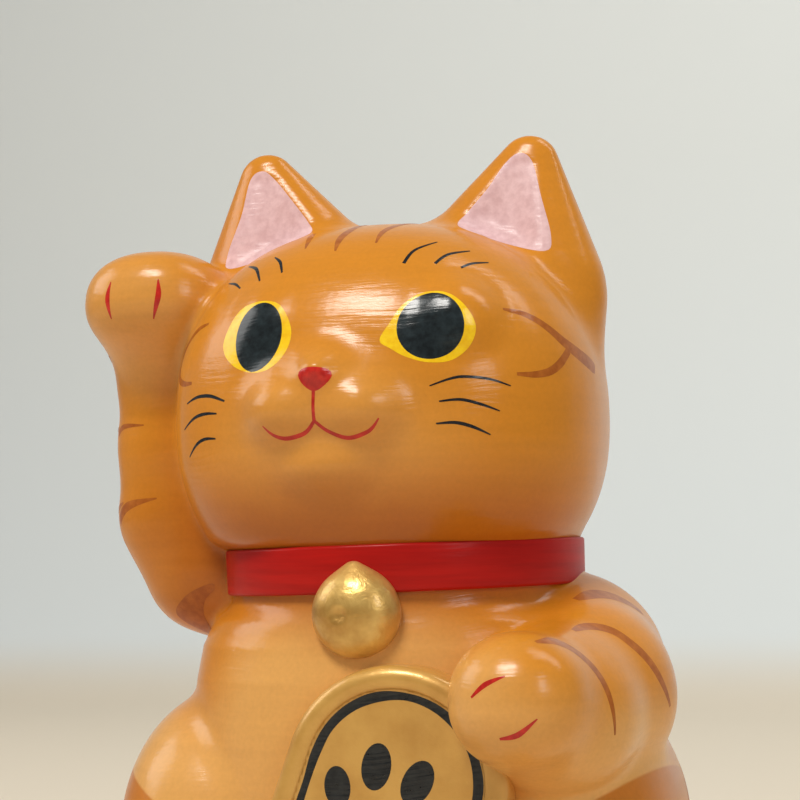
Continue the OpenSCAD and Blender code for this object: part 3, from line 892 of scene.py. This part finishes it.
wrap, enter, close = shaping("wrap enamel on skin", Skin="Object", Cast_direction="Vector",
                             Film_thickness="Float", Enamel="Material")
skin = node(wrap, "GeometryNodeObjectInfo", (-4, 2), {"Object": enter.outputs["Skin"]})
lie = node(wrap, "GeometryNodeInputNamedAttribute", (-4, 5), {"Name": "lie"}, data_type="FLOAT_VECTOR")
cast_ray = node(wrap, "GeometryNodeRaycast", (-2, 2), {
    "Target Geometry": skin.outputs["Geometry"], "Attribute": lie.outputs["Attribute"],
    "Ray Direction": enter.outputs["Cast direction"], "Ray Length": 1.5 * EASEL * MM},
    data_type="FLOAT_VECTOR", mapping="INTERPOLATED")
height = node(wrap, "GeometryNodeInputNamedAttribute", (-4, 7), {"Name": "height"}, data_type="FLOAT")
thick = sums(wrap, (-2, 7), "MULTIPLY", height.outputs["Attribute"], enter.outputs["Film thickness"])
rise = node(wrap, "ShaderNodeVectorMath", (-1, 5), {0: cast_ray.outputs["Attribute"], "Scale": thick},
            operation="SCALE")
sit = node(wrap, "ShaderNodeVectorMath", (0, 4), {0: cast_ray.outputs["Hit Position"], 1: rise.outputs[0]},
           operation="ADD")
carry = node(wrap, "GeometryNodeCaptureAttribute", (0, 0), {"Geometry": enter.outputs["Geometry"]})
carry.capture_items.new("VECTOR", "lie")
wrap.links.new(cast_ray.outputs["Attribute"], carry.inputs["lie"])
moved = node(wrap, "GeometryNodeSetPosition", (1, 0), {
    "Geometry": carry.outputs["Geometry"], "Selection": cast_ray.outputs["Is Hit"],
    "Position": sit.outputs[0]})
close(node(wrap, "GeometryNodeStoreNamedAttribute", (2, 0), {
    "Geometry": moved.outputs[0], "Name": "lie", "Value": carry.outputs["lie"]},
    data_type="FLOAT_VECTOR", domain="POINT").outputs[0])


def with_lie(name, points, triangles, normals):
    """A stand-in skin that carries its own outward directions for the films to follow."""
    stand_in = new_mesh(name, points, triangles)
    lie = stand_in.data.attributes.new("lie", "FLOAT_VECTOR", "POINT")
    lie.data.foreach_set("vector", np.ascontiguousarray(normals, np.float32).ravel())
    return stand_in


cat_skin = with_lie("cat_skin", clay.T, clay_triangles, clay_normals.T)


def paint_marks(name, enamel, marks, azimuth=0, elevation=0, skin=None, film=FILM):
    """Enamel marks drawn flat on an easel that faces the figurine from this side, then laid on it."""
    a, e = math.radians(azimuth), math.radians(elevation)
    right = np.array([math.cos(a), math.sin(a), 0])
    up = np.array([-math.sin(a) * math.sin(e), math.cos(a) * math.sin(e), math.cos(e)])
    ahead = np.array([-math.sin(a) * math.cos(e), math.cos(a) * math.cos(e), -math.sin(e)])
    points, heights, faces = [], [], []
    for flat, edge, own in marks:
        base, count = len(points), len(flat)
        for sheet in (0, 1):
            for (u, v), rim in zip(flat, edge):
                points.append(right * u + up * v - ahead * EASEL)
                heights.append(FILM_SUNK if sheet else FILM_EDGE if rim else 1.0)
        faces += [tuple(base + i for i in face) for face in own]
        faces += [tuple(base + count + i for i in reversed(face)) for face in own]
        sides = {}
        for face in own:
            for i, j in zip(face, face[1:] + face[:1]):
                sides[(i, j)] = True
        faces += [(base + j, base + i, base + count + i, base + count + j)
                  for i, j in sides if (j, i) not in sides]
    blank = bpy.data.meshes.new(name + "_flat")
    blank.from_pydata((np.array(points) * MM).tolist(), [], faces)
    blank.attributes.new("height", "FLOAT", "POINT").data.foreach_set("value", heights)
    film_piece = bake(name, wrap, {"Skin": skin or cat_skin, "Cast direction": tuple(ahead),
                                   "Film thickness": film * MM, "Enamel": enamel}, blank)
    mesh = film_piece.data
    corners = np.empty(len(mesh.loops), np.int32)
    mesh.loops.foreach_get("vertex_index", corners)
    lie = np.empty(len(mesh.vertices) * 3, np.float32)
    mesh.attributes["lie"].data.foreach_get("vector", lie)
    work = bmesh.new()
    work.from_mesh(mesh)
    tops = [face for face in work.faces if all(heights[v.index] > 0 for v in face.verts)]
    lies = lie.reshape(-1, 3)
    if sum(face.calc_area() * face.normal.dot(Vector(lies[face.verts[0].index])) for face in tops) < 0:
        bmesh.ops.reverse_faces(work, faces=work.faces)
        work.to_mesh(mesh)
        mesh.loops.foreach_get("vertex_index", corners)
    work.free()
    mesh.shade_smooth()
    facing = np.where(np.array(heights)[:, None] > 0, lie.reshape(-1, 3), -lie.reshape(-1, 3))
    mesh.normals_split_custom_set(facing[corners].tolist())
    return known_as(film_piece)


def enamel_paint(name, dark, light, roughness=0.35, coat=0.8):
    """Opaque enamel with the faint unevenness of a hand-held brush."""
    material, tree, shader = glaze(name, roughness, coat, 0.16)
    uneven = cloud(tree, (-5, 0), object_coords(tree), 420.0, 3.0, 0.6)
    tree.links.new(ramp(tree, (-4, 0), uneven, 0.35, dark, 0.68, light), shader.inputs["Base Color"])
    return material


yellow_enamel = enamel_paint("yellow enamel", (0.92, 0.52, 0.004), (1.0, 0.66, 0.010))
black_enamel = enamel_paint("black enamel", (0.006, 0.007, 0.008), (0.016, 0.018, 0.019))
pupil_enamel = enamel_paint("pupil enamel", (0.006, 0.009, 0.010), (0.020, 0.030, 0.034), roughness=0.3)
red_paint = enamel_paint("red line enamel", (0.44, 0.012, 0.008), (0.66, 0.026, 0.014))

paint_marks("painted_irises", yellow_enamel, [
    spot([(-33.9, 175.6), (-32.3, 181.2), (-28.9, 185.2), (-23.0, 186.6), (-17.6, 185.2), (-14.0, 179.4),
          (-14.0, 174.4),
          (-16.6, 170.2), (-20.7, 168.2), (-26.3, 168.6), (-31.2, 171.2)]),
    spot([(9.4, 174.8), (11.7, 179.3), (14.3, 183.7), (18.6, 186.6), (24.8, 186.5), (29.6, 183.2),
          (32.3, 178.0),
          (30.9, 173.0), (26.7, 169.5), (21.2, 169.0), (15.9, 170.5), (12.2, 172.6)])])
paint_marks("painted_pupils", pupil_enamel, [
    spot(oval(-22.9, 177.2, 6.7, 9.0, 8)), spot(oval(21.6, 178.1, 8.3, 8.4, 0))], film=2 * FILM)
paint_marks("painted_nose", red_paint, [
    spot([(-9.3, 166.4), (-8.2, 167.8), (-5.0, 168.2), (-1.6, 167.6), (-0.6, 166.0), (-2.2, 163.8),
          (-5.0, 162.3), (-7.7, 163.8)])])
paint_marks("painted_mouth", red_paint, [
    stroke([(-5.2, 163.0, 0.9), (-5.5, 159.0, 0.8), (-5.6, 155.0, 0.9)]),
    stroke([(-5.6, 155.2, 0.8), (-7.4, 153.1, 0.9), (-9.6, 151.9, 1.0), (-13.6, 151.2, 1.0),
            (-16.8, 152.2, 0.8),
            (-19.1, 154.4, 0.3)]),
    stroke([(-5.6, 155.2, 0.8), (-2.5, 152.7, 0.9), (2.3, 150.9, 1.0), (6.8, 151.9, 0.9), (9.0, 153.3, 0.7),
            (10.6, 155.4, 0.3)])])
paint_marks("painted_brows", black_enamel, [
    stroke([(-24.3, 199.6, 0.3), (-21.5, 197.7, 0.8), (-19.6, 194.4, 0.5)]),
    stroke([(-33.1, 198.2, 0.3), (-28.9, 196.6, 0.9), (-25.9, 192.7, 0.5)]),
    stroke([(-38.3, 193.8, 0.3), (-34.8, 193.0, 0.7), (-32.0, 191.3, 0.4)]),
    stroke([(12.7, 195.0, 0.9), (14.3, 198.8, 0.8), (18.8, 201.4, 0.3)]),
    stroke([(20.2, 194.8, 0.8), (22.5, 197.5, 0.8), (27.0, 198.8, 0.3)]),
    stroke([(26.4, 193.7, 0.7), (28.5, 195.0, 0.7), (31.9, 195.5, 0.3)])])
paint_marks("painted_whiskers_right", black_enamel, [
    stroke([(-11.2, 162.0, 0.3), (-5.1, 163.3, 0.8), (1.0, 163.2, 0.9), (6.6, 161.6, 0.5)]),
    stroke([(-13.2, 155.4, 0.3), (-6.6, 158.0, 0.8), (-1.1, 158.8, 0.8), (3.7, 158.6, 0.4)]),
    stroke([(-10.8, 148.2, 0.3), (-5.8, 151.2, 0.8), (-1.5, 152.4, 0.8), (3.0, 152.3, 0.4)])], azimuth=-40)
paint_marks("painted_whiskers_left", black_enamel, [
    stroke([(-7.2, 163.2, 0.3), (-2.2, 164.9, 0.6), (1.5, 165.4, 0.7), (7.8, 164.8, 0.6),
            (13.3, 163.2, 0.3)]),
    stroke([(-5.0, 159.4, 0.4), (0.1, 159.8, 0.7), (5.1, 158.7, 0.7), (10.2, 157.0, 0.3)]),
    stroke([(-5.8, 154.0, 0.4), (-1.2, 154.2, 0.8), (3.0, 153.2, 0.8), (7.7, 151.2, 0.3)])], azimuth=30)


# ---------------------------------------------------------------------------------------------
# Inner ears, toes and stripes. Pink enamel fills the hollow of each ear, short red lines part
# the toes, and russet stripes are brushed over the coat of the head, arms, haunches and back.
# ---------------------------------------------------------------------------------------------
pink_enamel = enamel_paint("pink ear enamel", (0.70, 0.44, 0.44), (0.84, 0.57, 0.57), 0.55, 0.25)
russet_paint = enamel_paint("russet stripe paint", (0.36, 0.090, 0.008), (0.48, 0.140, 0.015), 0.45, 0.6)

for side, name in ((RIGHT, "painted_inner_ear_right"), (LEFT, "painted_inner_ear_left")):
    x = head_x + side * 34.5
    top = x + (1.2 if side == LEFT else -2.6)
    paint_marks(name, pink_enamel, [
        spot([(top, 228.8), (top + side * 3.6, 226.4), (x + side * 7.8, 216), (x + side * 10.8, 205.0),
              (x + side * 9.6, 200.8), (x + side * 0, 203.0), (x - side * 10.6, 207.0),
              (x - side * 14.0, 209.6),
              (x - side * 12.0, 213.0), (x - side * 6.8, 219.5), (top - side * 3.8, 226.0)])])

paint_marks("painted_toes_raised", red_paint, [
    stroke([(-71.0, 195.8, 0.3), (-71.9, 191.2, 1.5), (-71.4, 186.0, 0.3)]),
    stroke([(-57.4, 195.8, 0.3), (-57.2, 191.2, 1.5), (-59.2, 185.4, 0.3)])])
paint_marks("painted_toes_lowered", red_paint, [
    stroke([(36.1, 89.9, 0.5), (39.6, 92.9, 1.2), (44.2, 94.8, 0.3)]),
    stroke([(42.6, 80.6, 0.6), (46.9, 81.6, 1.3), (51.4, 85.2, 0.3)])])
for side, name in ((RIGHT, "painted_toes_right_foot"), (LEFT, "painted_toes_left_foot")):
    x = side * 38
    paint_marks(name, red_paint, [
        stroke([(x - 6, 18.5, 0.3), (x - 6.6, 13.5, 1.4), (x - 6, 8.5, 0.3)]),
        stroke([(x + 6, 18.5, 0.3), (x + 6.6, 13.5, 1.4), (x + 6, 8.5, 0.3)])])

paint_marks("stripes_left_cheek", russet_paint, [
    stroke([(-15.0, 182.6, 0.6), (-9.8, 181.9, 1.4), (-5.4, 180.3, 1.8), (-1.3, 178.0, 2.2),
            (3.5, 175.0, 2.8),
            (9.5, 172.4, 3.4), (17.5, 169.8, 3.6), (19.2, 169.2, 2.4)]),
    stroke([(-14.6, 166.2, 0.8), (-9.3, 166.2, 1.6), (-4.2, 167.2, 2.0), (0.2, 169.5, 2.2),
            (4.6, 173.0, 2.0)])], azimuth=60)
paint_marks("stripes_right_cheek", russet_paint, [
    stroke([(14.6, 182.6, 0.6), (9.8, 181.9, 1.4), (5.4, 180.3, 1.8), (1.3, 178.0, 2.2), (-3.5, 175.0, 2.6),
            (-8.5, 172.6, 2.6)]),
    stroke([(14.2, 167.2, 0.8), (9.3, 167.4, 1.4), (4.2, 168.4, 1.8), (-0.2, 170.2, 1.8),
            (-3.6, 173.8, 1.6)])],
    azimuth=-62)
paint_marks("stripes_crown", russet_paint, [
    stroke([(-15.6, 103.0, 0.4), (-16.4, 109.0, 1.5), (-17.6, 115.0, 1.8), (-18.6, 120.0, 0.8)]),
    stroke([(-6.4, 99.3, 0.5), (-6.9, 106.3, 2.0), (-6.2, 114.0, 2.4), (-5.5, 124.0, 1.4)]),
    stroke([(3.7, 102.4, 0.5), (3.7, 109.9, 1.7), (5.5, 118.0, 2.0), (8.0, 127.0, 1.0)])], elevation=50)
paint_marks("stripes_raised_arm", russet_paint, [
    stroke([(-65.5, 156.6, 2.0), (-60.5, 158.4, 1.5), (-52.0, 158.4, 0.4)]),
    stroke([(-66.0, 132.4, 3.0), (-62.0, 135.4, 2.8), (-57.4, 137.0, 2.2), (-49.0, 138.4, 0.4)]),
    spot([(-50.5, 106.5), (-45.0, 111.2), (-40.5, 113.8), (-37.0, 115.2), (-36.6, 113.8), (-39.5, 110.8),
          (-41.8, 107.0),
          (-43.0, 103.0), (-44.0, 99.5), (-47.0, 101.5)])], azimuth=-30)
paint_marks("stripes_raised_arm_outside", russet_paint, [
    stroke([(8, 158.5, 0.5), (0, 157.2, 2.4), (-6, 156.6, 2.4)]),
    stroke([(10, 137.5, 0.5), (2, 135.0, 2.8), (-5, 133.0, 3.0)]),
    stroke([(13, 178.0, 0.5), (4, 176.4, 2.2), (-4, 176.0, 0.5)])], azimuth=-90)
paint_marks("stripes_lowered_arm", russet_paint, [
    stroke([(8.6, 110.2, 0.5), (14.7, 111.2, 1.8), (20.0, 111.0, 2.4), (26.0, 109.2, 2.4),
            (32.0, 106.0, 1.4)]),
    stroke([(-7.6, 103.4, 0.5), (0.0, 104.0, 1.6), (5.0, 102.8, 2.3), (8.4, 99.6, 2.6), (12.2, 95.2, 2.6),
            (15.6, 90.0, 2.2),
            (19.6, 83.6, 0.9)]),
    stroke([(-32.2, 102.0, 0.5), (-27.0, 102.0, 1.6), (-22.1, 100.6, 2.3), (-17.8, 97.8, 2.5),
            (-14.6, 94.0, 2.3),
            (-12.6, 89.0, 1.9), (-10.9, 79.4, 0.5)])], azimuth=60)
for side, name in ((RIGHT, "stripes_right_haunch"), (LEFT, "stripes_left_haunch")):
    paint_marks(name, russet_paint, [
        stroke([(side * 24, 72, 0.5), (side * 15, 66, 3.0), (side * 7, 57, 3.4), (side * 1, 46, 0.6)]),
        stroke([(side * 34, 56, 0.5), (side * 26, 50, 2.8), (side * 20, 42, 3.0), (side * 16, 32, 0.6)])],
        azimuth=side * 90)
paint_marks("stripes_back", russet_paint, [
    stroke([(side * 4, z, 0.5), (side * 16, z - 2, 3.2), (side * 30, z - 7, 3.4), (side * 42, z - 14, 0.6)])
    for side in (RIGHT, LEFT) for z in (104, 88, 72)], azimuth=180)
paint_marks("stripes_head_back", russet_paint, [
    stroke([(x, 205, 0.6), (x * 1.15, 193, 3.0), (x * 1.25, 180, 2.6), (x * 1.2, 170, 0.5)])
    for x in (-18, 2, 22)],
    azimuth=180)
paint_marks("stripes_tail", russet_paint, [
    stroke([(-x, 18.0, 0.6), (-x - 1.5, 12.5, 2.6), (-x - 1.0, 5.5, 0.6)]) for x in (14, 24, 34)],
    azimuth=180)

# ---------------------------------------------------------------------------------------------
# Coin painting. A black oval line is drawn just inside the rim, and a simple paw print, four
# toes over a pad, is brushed in the field.
# ---------------------------------------------------------------------------------------------
coin_skin = with_lie("coin_skin", *coin_mould)
LINE, LINE_W = 7.2, 2.2


def around(inset, width):
    """The oval at this inset from the coin's edge, as points for one closed stroke."""
    r = coin_r - inset
    axis = (coin_head - coin_foot) / np.linalg.norm(coin_head - coin_foot)
    side = np.array([axis[1], -axis[0]])
    ring = []
    for centre, start, other in ((coin_head, 0, coin_foot), (coin_foot, 180, coin_head)):
        for a in range(start, start + 181, 20):
            ring.append(centre + side * r * math.cos(math.radians(a)) + axis * r * math.sin(math.radians(a)))
        ring += [ring[-1] + (other - centre) * k / 5 for k in (1, 2, 3, 4)]
    return [(u, v, width * (1 + 0.22 * math.sin(1.7 * i) * math.cos(0.6 * i)))
            for i, (u, v) in enumerate(ring)]


paint_marks("painted_coin_line", black_enamel, [stroke(around(LINE, LINE_W), closed=True)],
            skin=coin_skin)
coin_lean = math.degrees(math.atan2(*(coin_head - coin_foot)))
pad = coin_head + (coin_foot - coin_head) * 0.32


def on_coin(u, v):
    """A place in the coin's own field, across and along it."""
    s, c = math.sin(math.radians(coin_lean)), math.cos(math.radians(coin_lean))
    return pad[0] + c * u + s * v, pad[1] - s * u + c * v


print_marks = [spot([on_coin(u, v) for u, v in (
    (-10.5, -8.0), (-9.5, -1.5), (-5.5, 4.2), (0, 6.6), (5.5, 4.2), (9.5, -1.5), (10.5, -8.0), (6.5, -11.5),
    (0, -9.4),
    (-6.5, -11.5))])]
for u, v, w, h, lean in ((-13.0, 6.6, 3.3, 5.0, -24), (-5.4, 14.6, 3.7, 5.7, -9),
                         (5.4, 14.6, 3.7, 5.7, 9), (13.0, 6.6, 3.3, 5.0, 24)):
    print_marks.append(spot(oval(*on_coin(u, v), w, h, coin_lean + lean)))
paint_marks("painted_coin_paw", black_enamel, print_marks, skin=coin_skin)
for stand_in in (cat_skin, coin_skin):
    bpy.data.objects.remove(stand_in)

# ---------------------------------------------------------------------------------------------
# Foot disc. A turned disc of unglazed clay set into the foot of the body, recessed round the
# hole that the casting was poured and is emptied through.
# ---------------------------------------------------------------------------------------------
bisque, tree, shader = finish("bare bisque", Roughness=0.88)
coords = object_coords(tree)
grain = cloud(tree, (-5, 0), coords, 600.0, 5.0, 0.7)
specks = node(tree, "ShaderNodeTexVoronoi", (-5, 3), {"Vector": coords, "Scale": 420.0}).outputs["Distance"]
clay_tone = ramp(tree, (-4, 0), grain, 0.3, (0.50, 0.36, 0.25), 0.7, (0.72, 0.58, 0.45))
speckled = mix_colour(tree, (-2, 0), (0.36, 0.22, 0.13), clay_tone,
                      spread(tree, (-4, 3), specks, 0.05, 0.16, 0, 1))
tree.links.new(speckled, shader.inputs["Base Color"])
tree.links.new(bump(tree, (-2, 3), grain, 0.5, 0.0004), shader.inputs["Normal"])


def turned(name, profile, sides, material):
    """A turned piece: a closed outline of (radius, height) points spun round the Z axis."""
    rings = np.array(profile, float)
    turns = np.arange(sides) * 2 * math.pi / sides
    points = [(r * math.cos(t), r * math.sin(t), z) for r, z in rings for t in turns]
    count = len(rings)
    faces = [(k * sides + i, k * sides + (i + 1) % sides, ((k + 1) % count) * sides + (i + 1) % sides,
              ((k + 1) % count) * sides + i) for k in range(count) for i in range(sides)]
    piece = new_mesh(name, points, faces, material=material)
    outward(piece)
    for edge in piece.data.edges:
        edge.use_edge_sharp = False
    return piece


disc_high = span("foot_disc")[1]
stopper_low, stopper_high = span("base_stopper")
disc_r, disc_t = disc_high[0], disc_high[2]
hole_r, recess_r, recess = 13.0, 17.5, 2.8
foot_disc = turned("foot_disc_turned", [
    (hole_r, recess + 0.5), (hole_r + 0.15, recess + 0.15), (hole_r + 0.5, recess), (recess_r - 0.6, recess),
    (recess_r - 0.15, recess - 0.15), (recess_r, recess - 0.6), (recess_r, 0.8), (recess_r + 0.25, 0.25),
    (recess_r + 0.8, 0), (26, 0), (27, 0.35), (28, 0.35), (29, 0), (disc_r - 1.2, 0), (disc_r - 0.35, 0.35),
    (disc_r, 1.2),
    (disc_r, disc_t - 0.4), (disc_r - 0.4, disc_t), (hole_r + 0.4, disc_t), (hole_r, disc_t - 0.4)], 128,
    bisque)
known_as(foot_disc, "foot_disc")

# ---------------------------------------------------------------------------------------------
# Stopper. A moulded soft rubber bung pushed up into the hole: a thin flange with a raised
# ring under it, and a hollow plug with a rounded lead-in.
# ---------------------------------------------------------------------------------------------
rubber, tree, shader = finish("soft rubber", Roughness=0.46, Subsurface_Weight=0.25, Subsurface_Scale=0.002)
coords = object_coords(tree)
bloom = cloud(tree, (-5, 0), coords, 160.0, 4.0, 0.6)
tree.links.new(ramp(tree, (-4, 0), bloom, 0.3, (0.58, 0.54, 0.45), 0.7, (0.68, 0.66, 0.58)),
               shader.inputs["Base Color"])
tree.links.new(bump(tree, (-2, 3), cloud(tree, (-5, 3), coords, 2200.0), 0.2, 0.0001),
               shader.inputs["Normal"])

flange_r, plug_r = stopper_high[0], 12.94
flange_z, plug_top = stopper_low[2], stopper_high[2]
stopper = turned("stopper_moulded", [
    (0.02, flange_z + 0.5), (5.0, flange_z + 0.5), (5.6, flange_z + 0.35), (6.2, flange_z), (8.2, flange_z),
    (8.8, flange_z + 0.35), (9.4, flange_z + 0.5), (13.6, flange_z + 0.5), (14.2, flange_z + 0.25),
    (14.8, flange_z),
    (flange_r - 0.7, flange_z), (flange_r - 0.2, flange_z + 0.2), (flange_r, flange_z + 0.7),
    (flange_r, flange_z + 1.3),
    (flange_r - 0.3, flange_z + 1.8), (flange_r - 0.9, flange_z + 2.0), (plug_r, flange_z + 2.0),
    (plug_r, plug_top - 2.4),
    (plug_r - 0.3, plug_top - 1.0), (plug_r - 1.2, plug_top), (plug_r - 2.4, plug_top),
    (plug_r - 2.8, plug_top - 0.6),
    (plug_r - 3.0, flange_z + 3.2), (plug_r - 3.6, flange_z + 2.6), (0.02, flange_z + 2.6)], 96, rubber)
known_as(stopper, "base_stopper", body="stopper")


# ---------------------------------------------------------------------------------------------
# Photographer's table: a plain pale sweep, soft ceiling lights and a window to the right.
# ---------------------------------------------------------------------------------------------
AZIMUTH, DISTANCE, EYE_LEVEL = 16, 540, 126
LOOK_UP, LEAN = 4, -1

view = bpy.data.objects.new("view", bpy.data.cameras.new("view"))
bpy.context.scene.collection.objects.link(view)
view.data.sensor_width = 36
view.data.lens = 90
view.data.shift_x = -0.00375
turn = math.radians(AZIMUTH)
stand = Vector((DISTANCE * math.sin(turn), -DISTANCE * math.cos(turn), EYE_LEVEL)) * MM
view.matrix_world = (Matrix.Translation(stand) @ Matrix.Rotation(turn, 4, "Z")
                     @ Matrix.Rotation(math.radians(90 + LOOK_UP), 4, "X")
                     @ Matrix.Rotation(math.radians(LEAN), 4, "Z"))
bpy.context.scene.camera = view


def sweep():
    """A table top that curves up into a plain backdrop behind the figurine."""
    profile = [(-4000, 0), (900, 0)]
    profile += [(900 + 500 * math.sin(math.radians(a)),
                 500 - 500 * math.cos(math.radians(a))) for a in range(6, 91, 6)]
    profile += [(1400, 2600)]
    width = 2600
    points = [(x, y, z) for y, z in profile for x in (-width, width)]
    faces = [(2 * i, 2 * i + 1, 2 * i + 3, 2 * i + 2) for i in range(len(profile) - 1)]
    return points, faces


backdrop_paper, tree, shader = finish("backdrop paper", Roughness=0.8, Specular_IOR_Level=0.2)
height = node(tree, "ShaderNodeSeparateXYZ", (-4, 0), {0: object_coords(tree)}).outputs["Z"]
climb = spread(tree, (-3, 0), height, 0.0, 0.05, 0, 1, "SMOOTHSTEP")
paper_tone = mix_colour(tree, (-2, 0), (0.78, 0.68, 0.54), (0.80, 0.82, 0.80), climb)
tree.links.new(paper_tone, shader.inputs["Base Color"])
points, faces = sweep()
backdrop = new_mesh("backdrop", points, faces, material=backdrop_paper)


def softbox(name, place, aim, size, power, colour):
    """A rectangular light at a place in millimetres, turned to face another."""
    light = bpy.data.lights.new(name, "AREA")
    light.shape, light.size, light.size_y = "RECTANGLE", size[0] * MM, size[1] * MM
    light.energy, light.color = power, colour
    lamp = bpy.data.objects.new(name, light)
    bpy.context.scene.collection.objects.link(lamp)
    way = np.array(aim, float) - np.array(place, float)
    yaw = math.atan2(way[0], -way[1])
    pitch = math.atan2(way[2], math.hypot(way[0], way[1]))
    lamp.matrix_world = (Matrix.Translation([c * MM for c in place]) @ Matrix.Rotation(math.pi + yaw, 4, "Z")
                         @ Matrix.Rotation(math.radians(90) + pitch, 4, "X"))
    return lamp


softbox("ceiling light", (-250, -900, 1500), (0, 0, 130), (560, 360), 17.5, (1.0, 0.97, 0.92))
softbox("window", (900, -750, 650), (0, 0, 130), (320, 480), 2.6, (0.94, 0.98, 1.0))
softbox("far window", (-1200, -100, 850), (0, 0, 120), (700, 700), 4.5, (1.0, 0.98, 0.95))
softbox("backdrop light", (800, 300, 1300), (500, 1400, 500), (1200, 400), 9, (0.97, 1.0, 1.0))
bpy.context.scene.view_settings.view_transform = "Standard"
room = bpy.data.worlds.new("room")
room.use_nodes = True
room.node_tree.nodes["Background"].inputs["Color"].default_value = (0.80, 0.84, 0.88, 1)
room.node_tree.nodes["Background"].inputs["Strength"].default_value = 0.24
bpy.context.scene.world = room
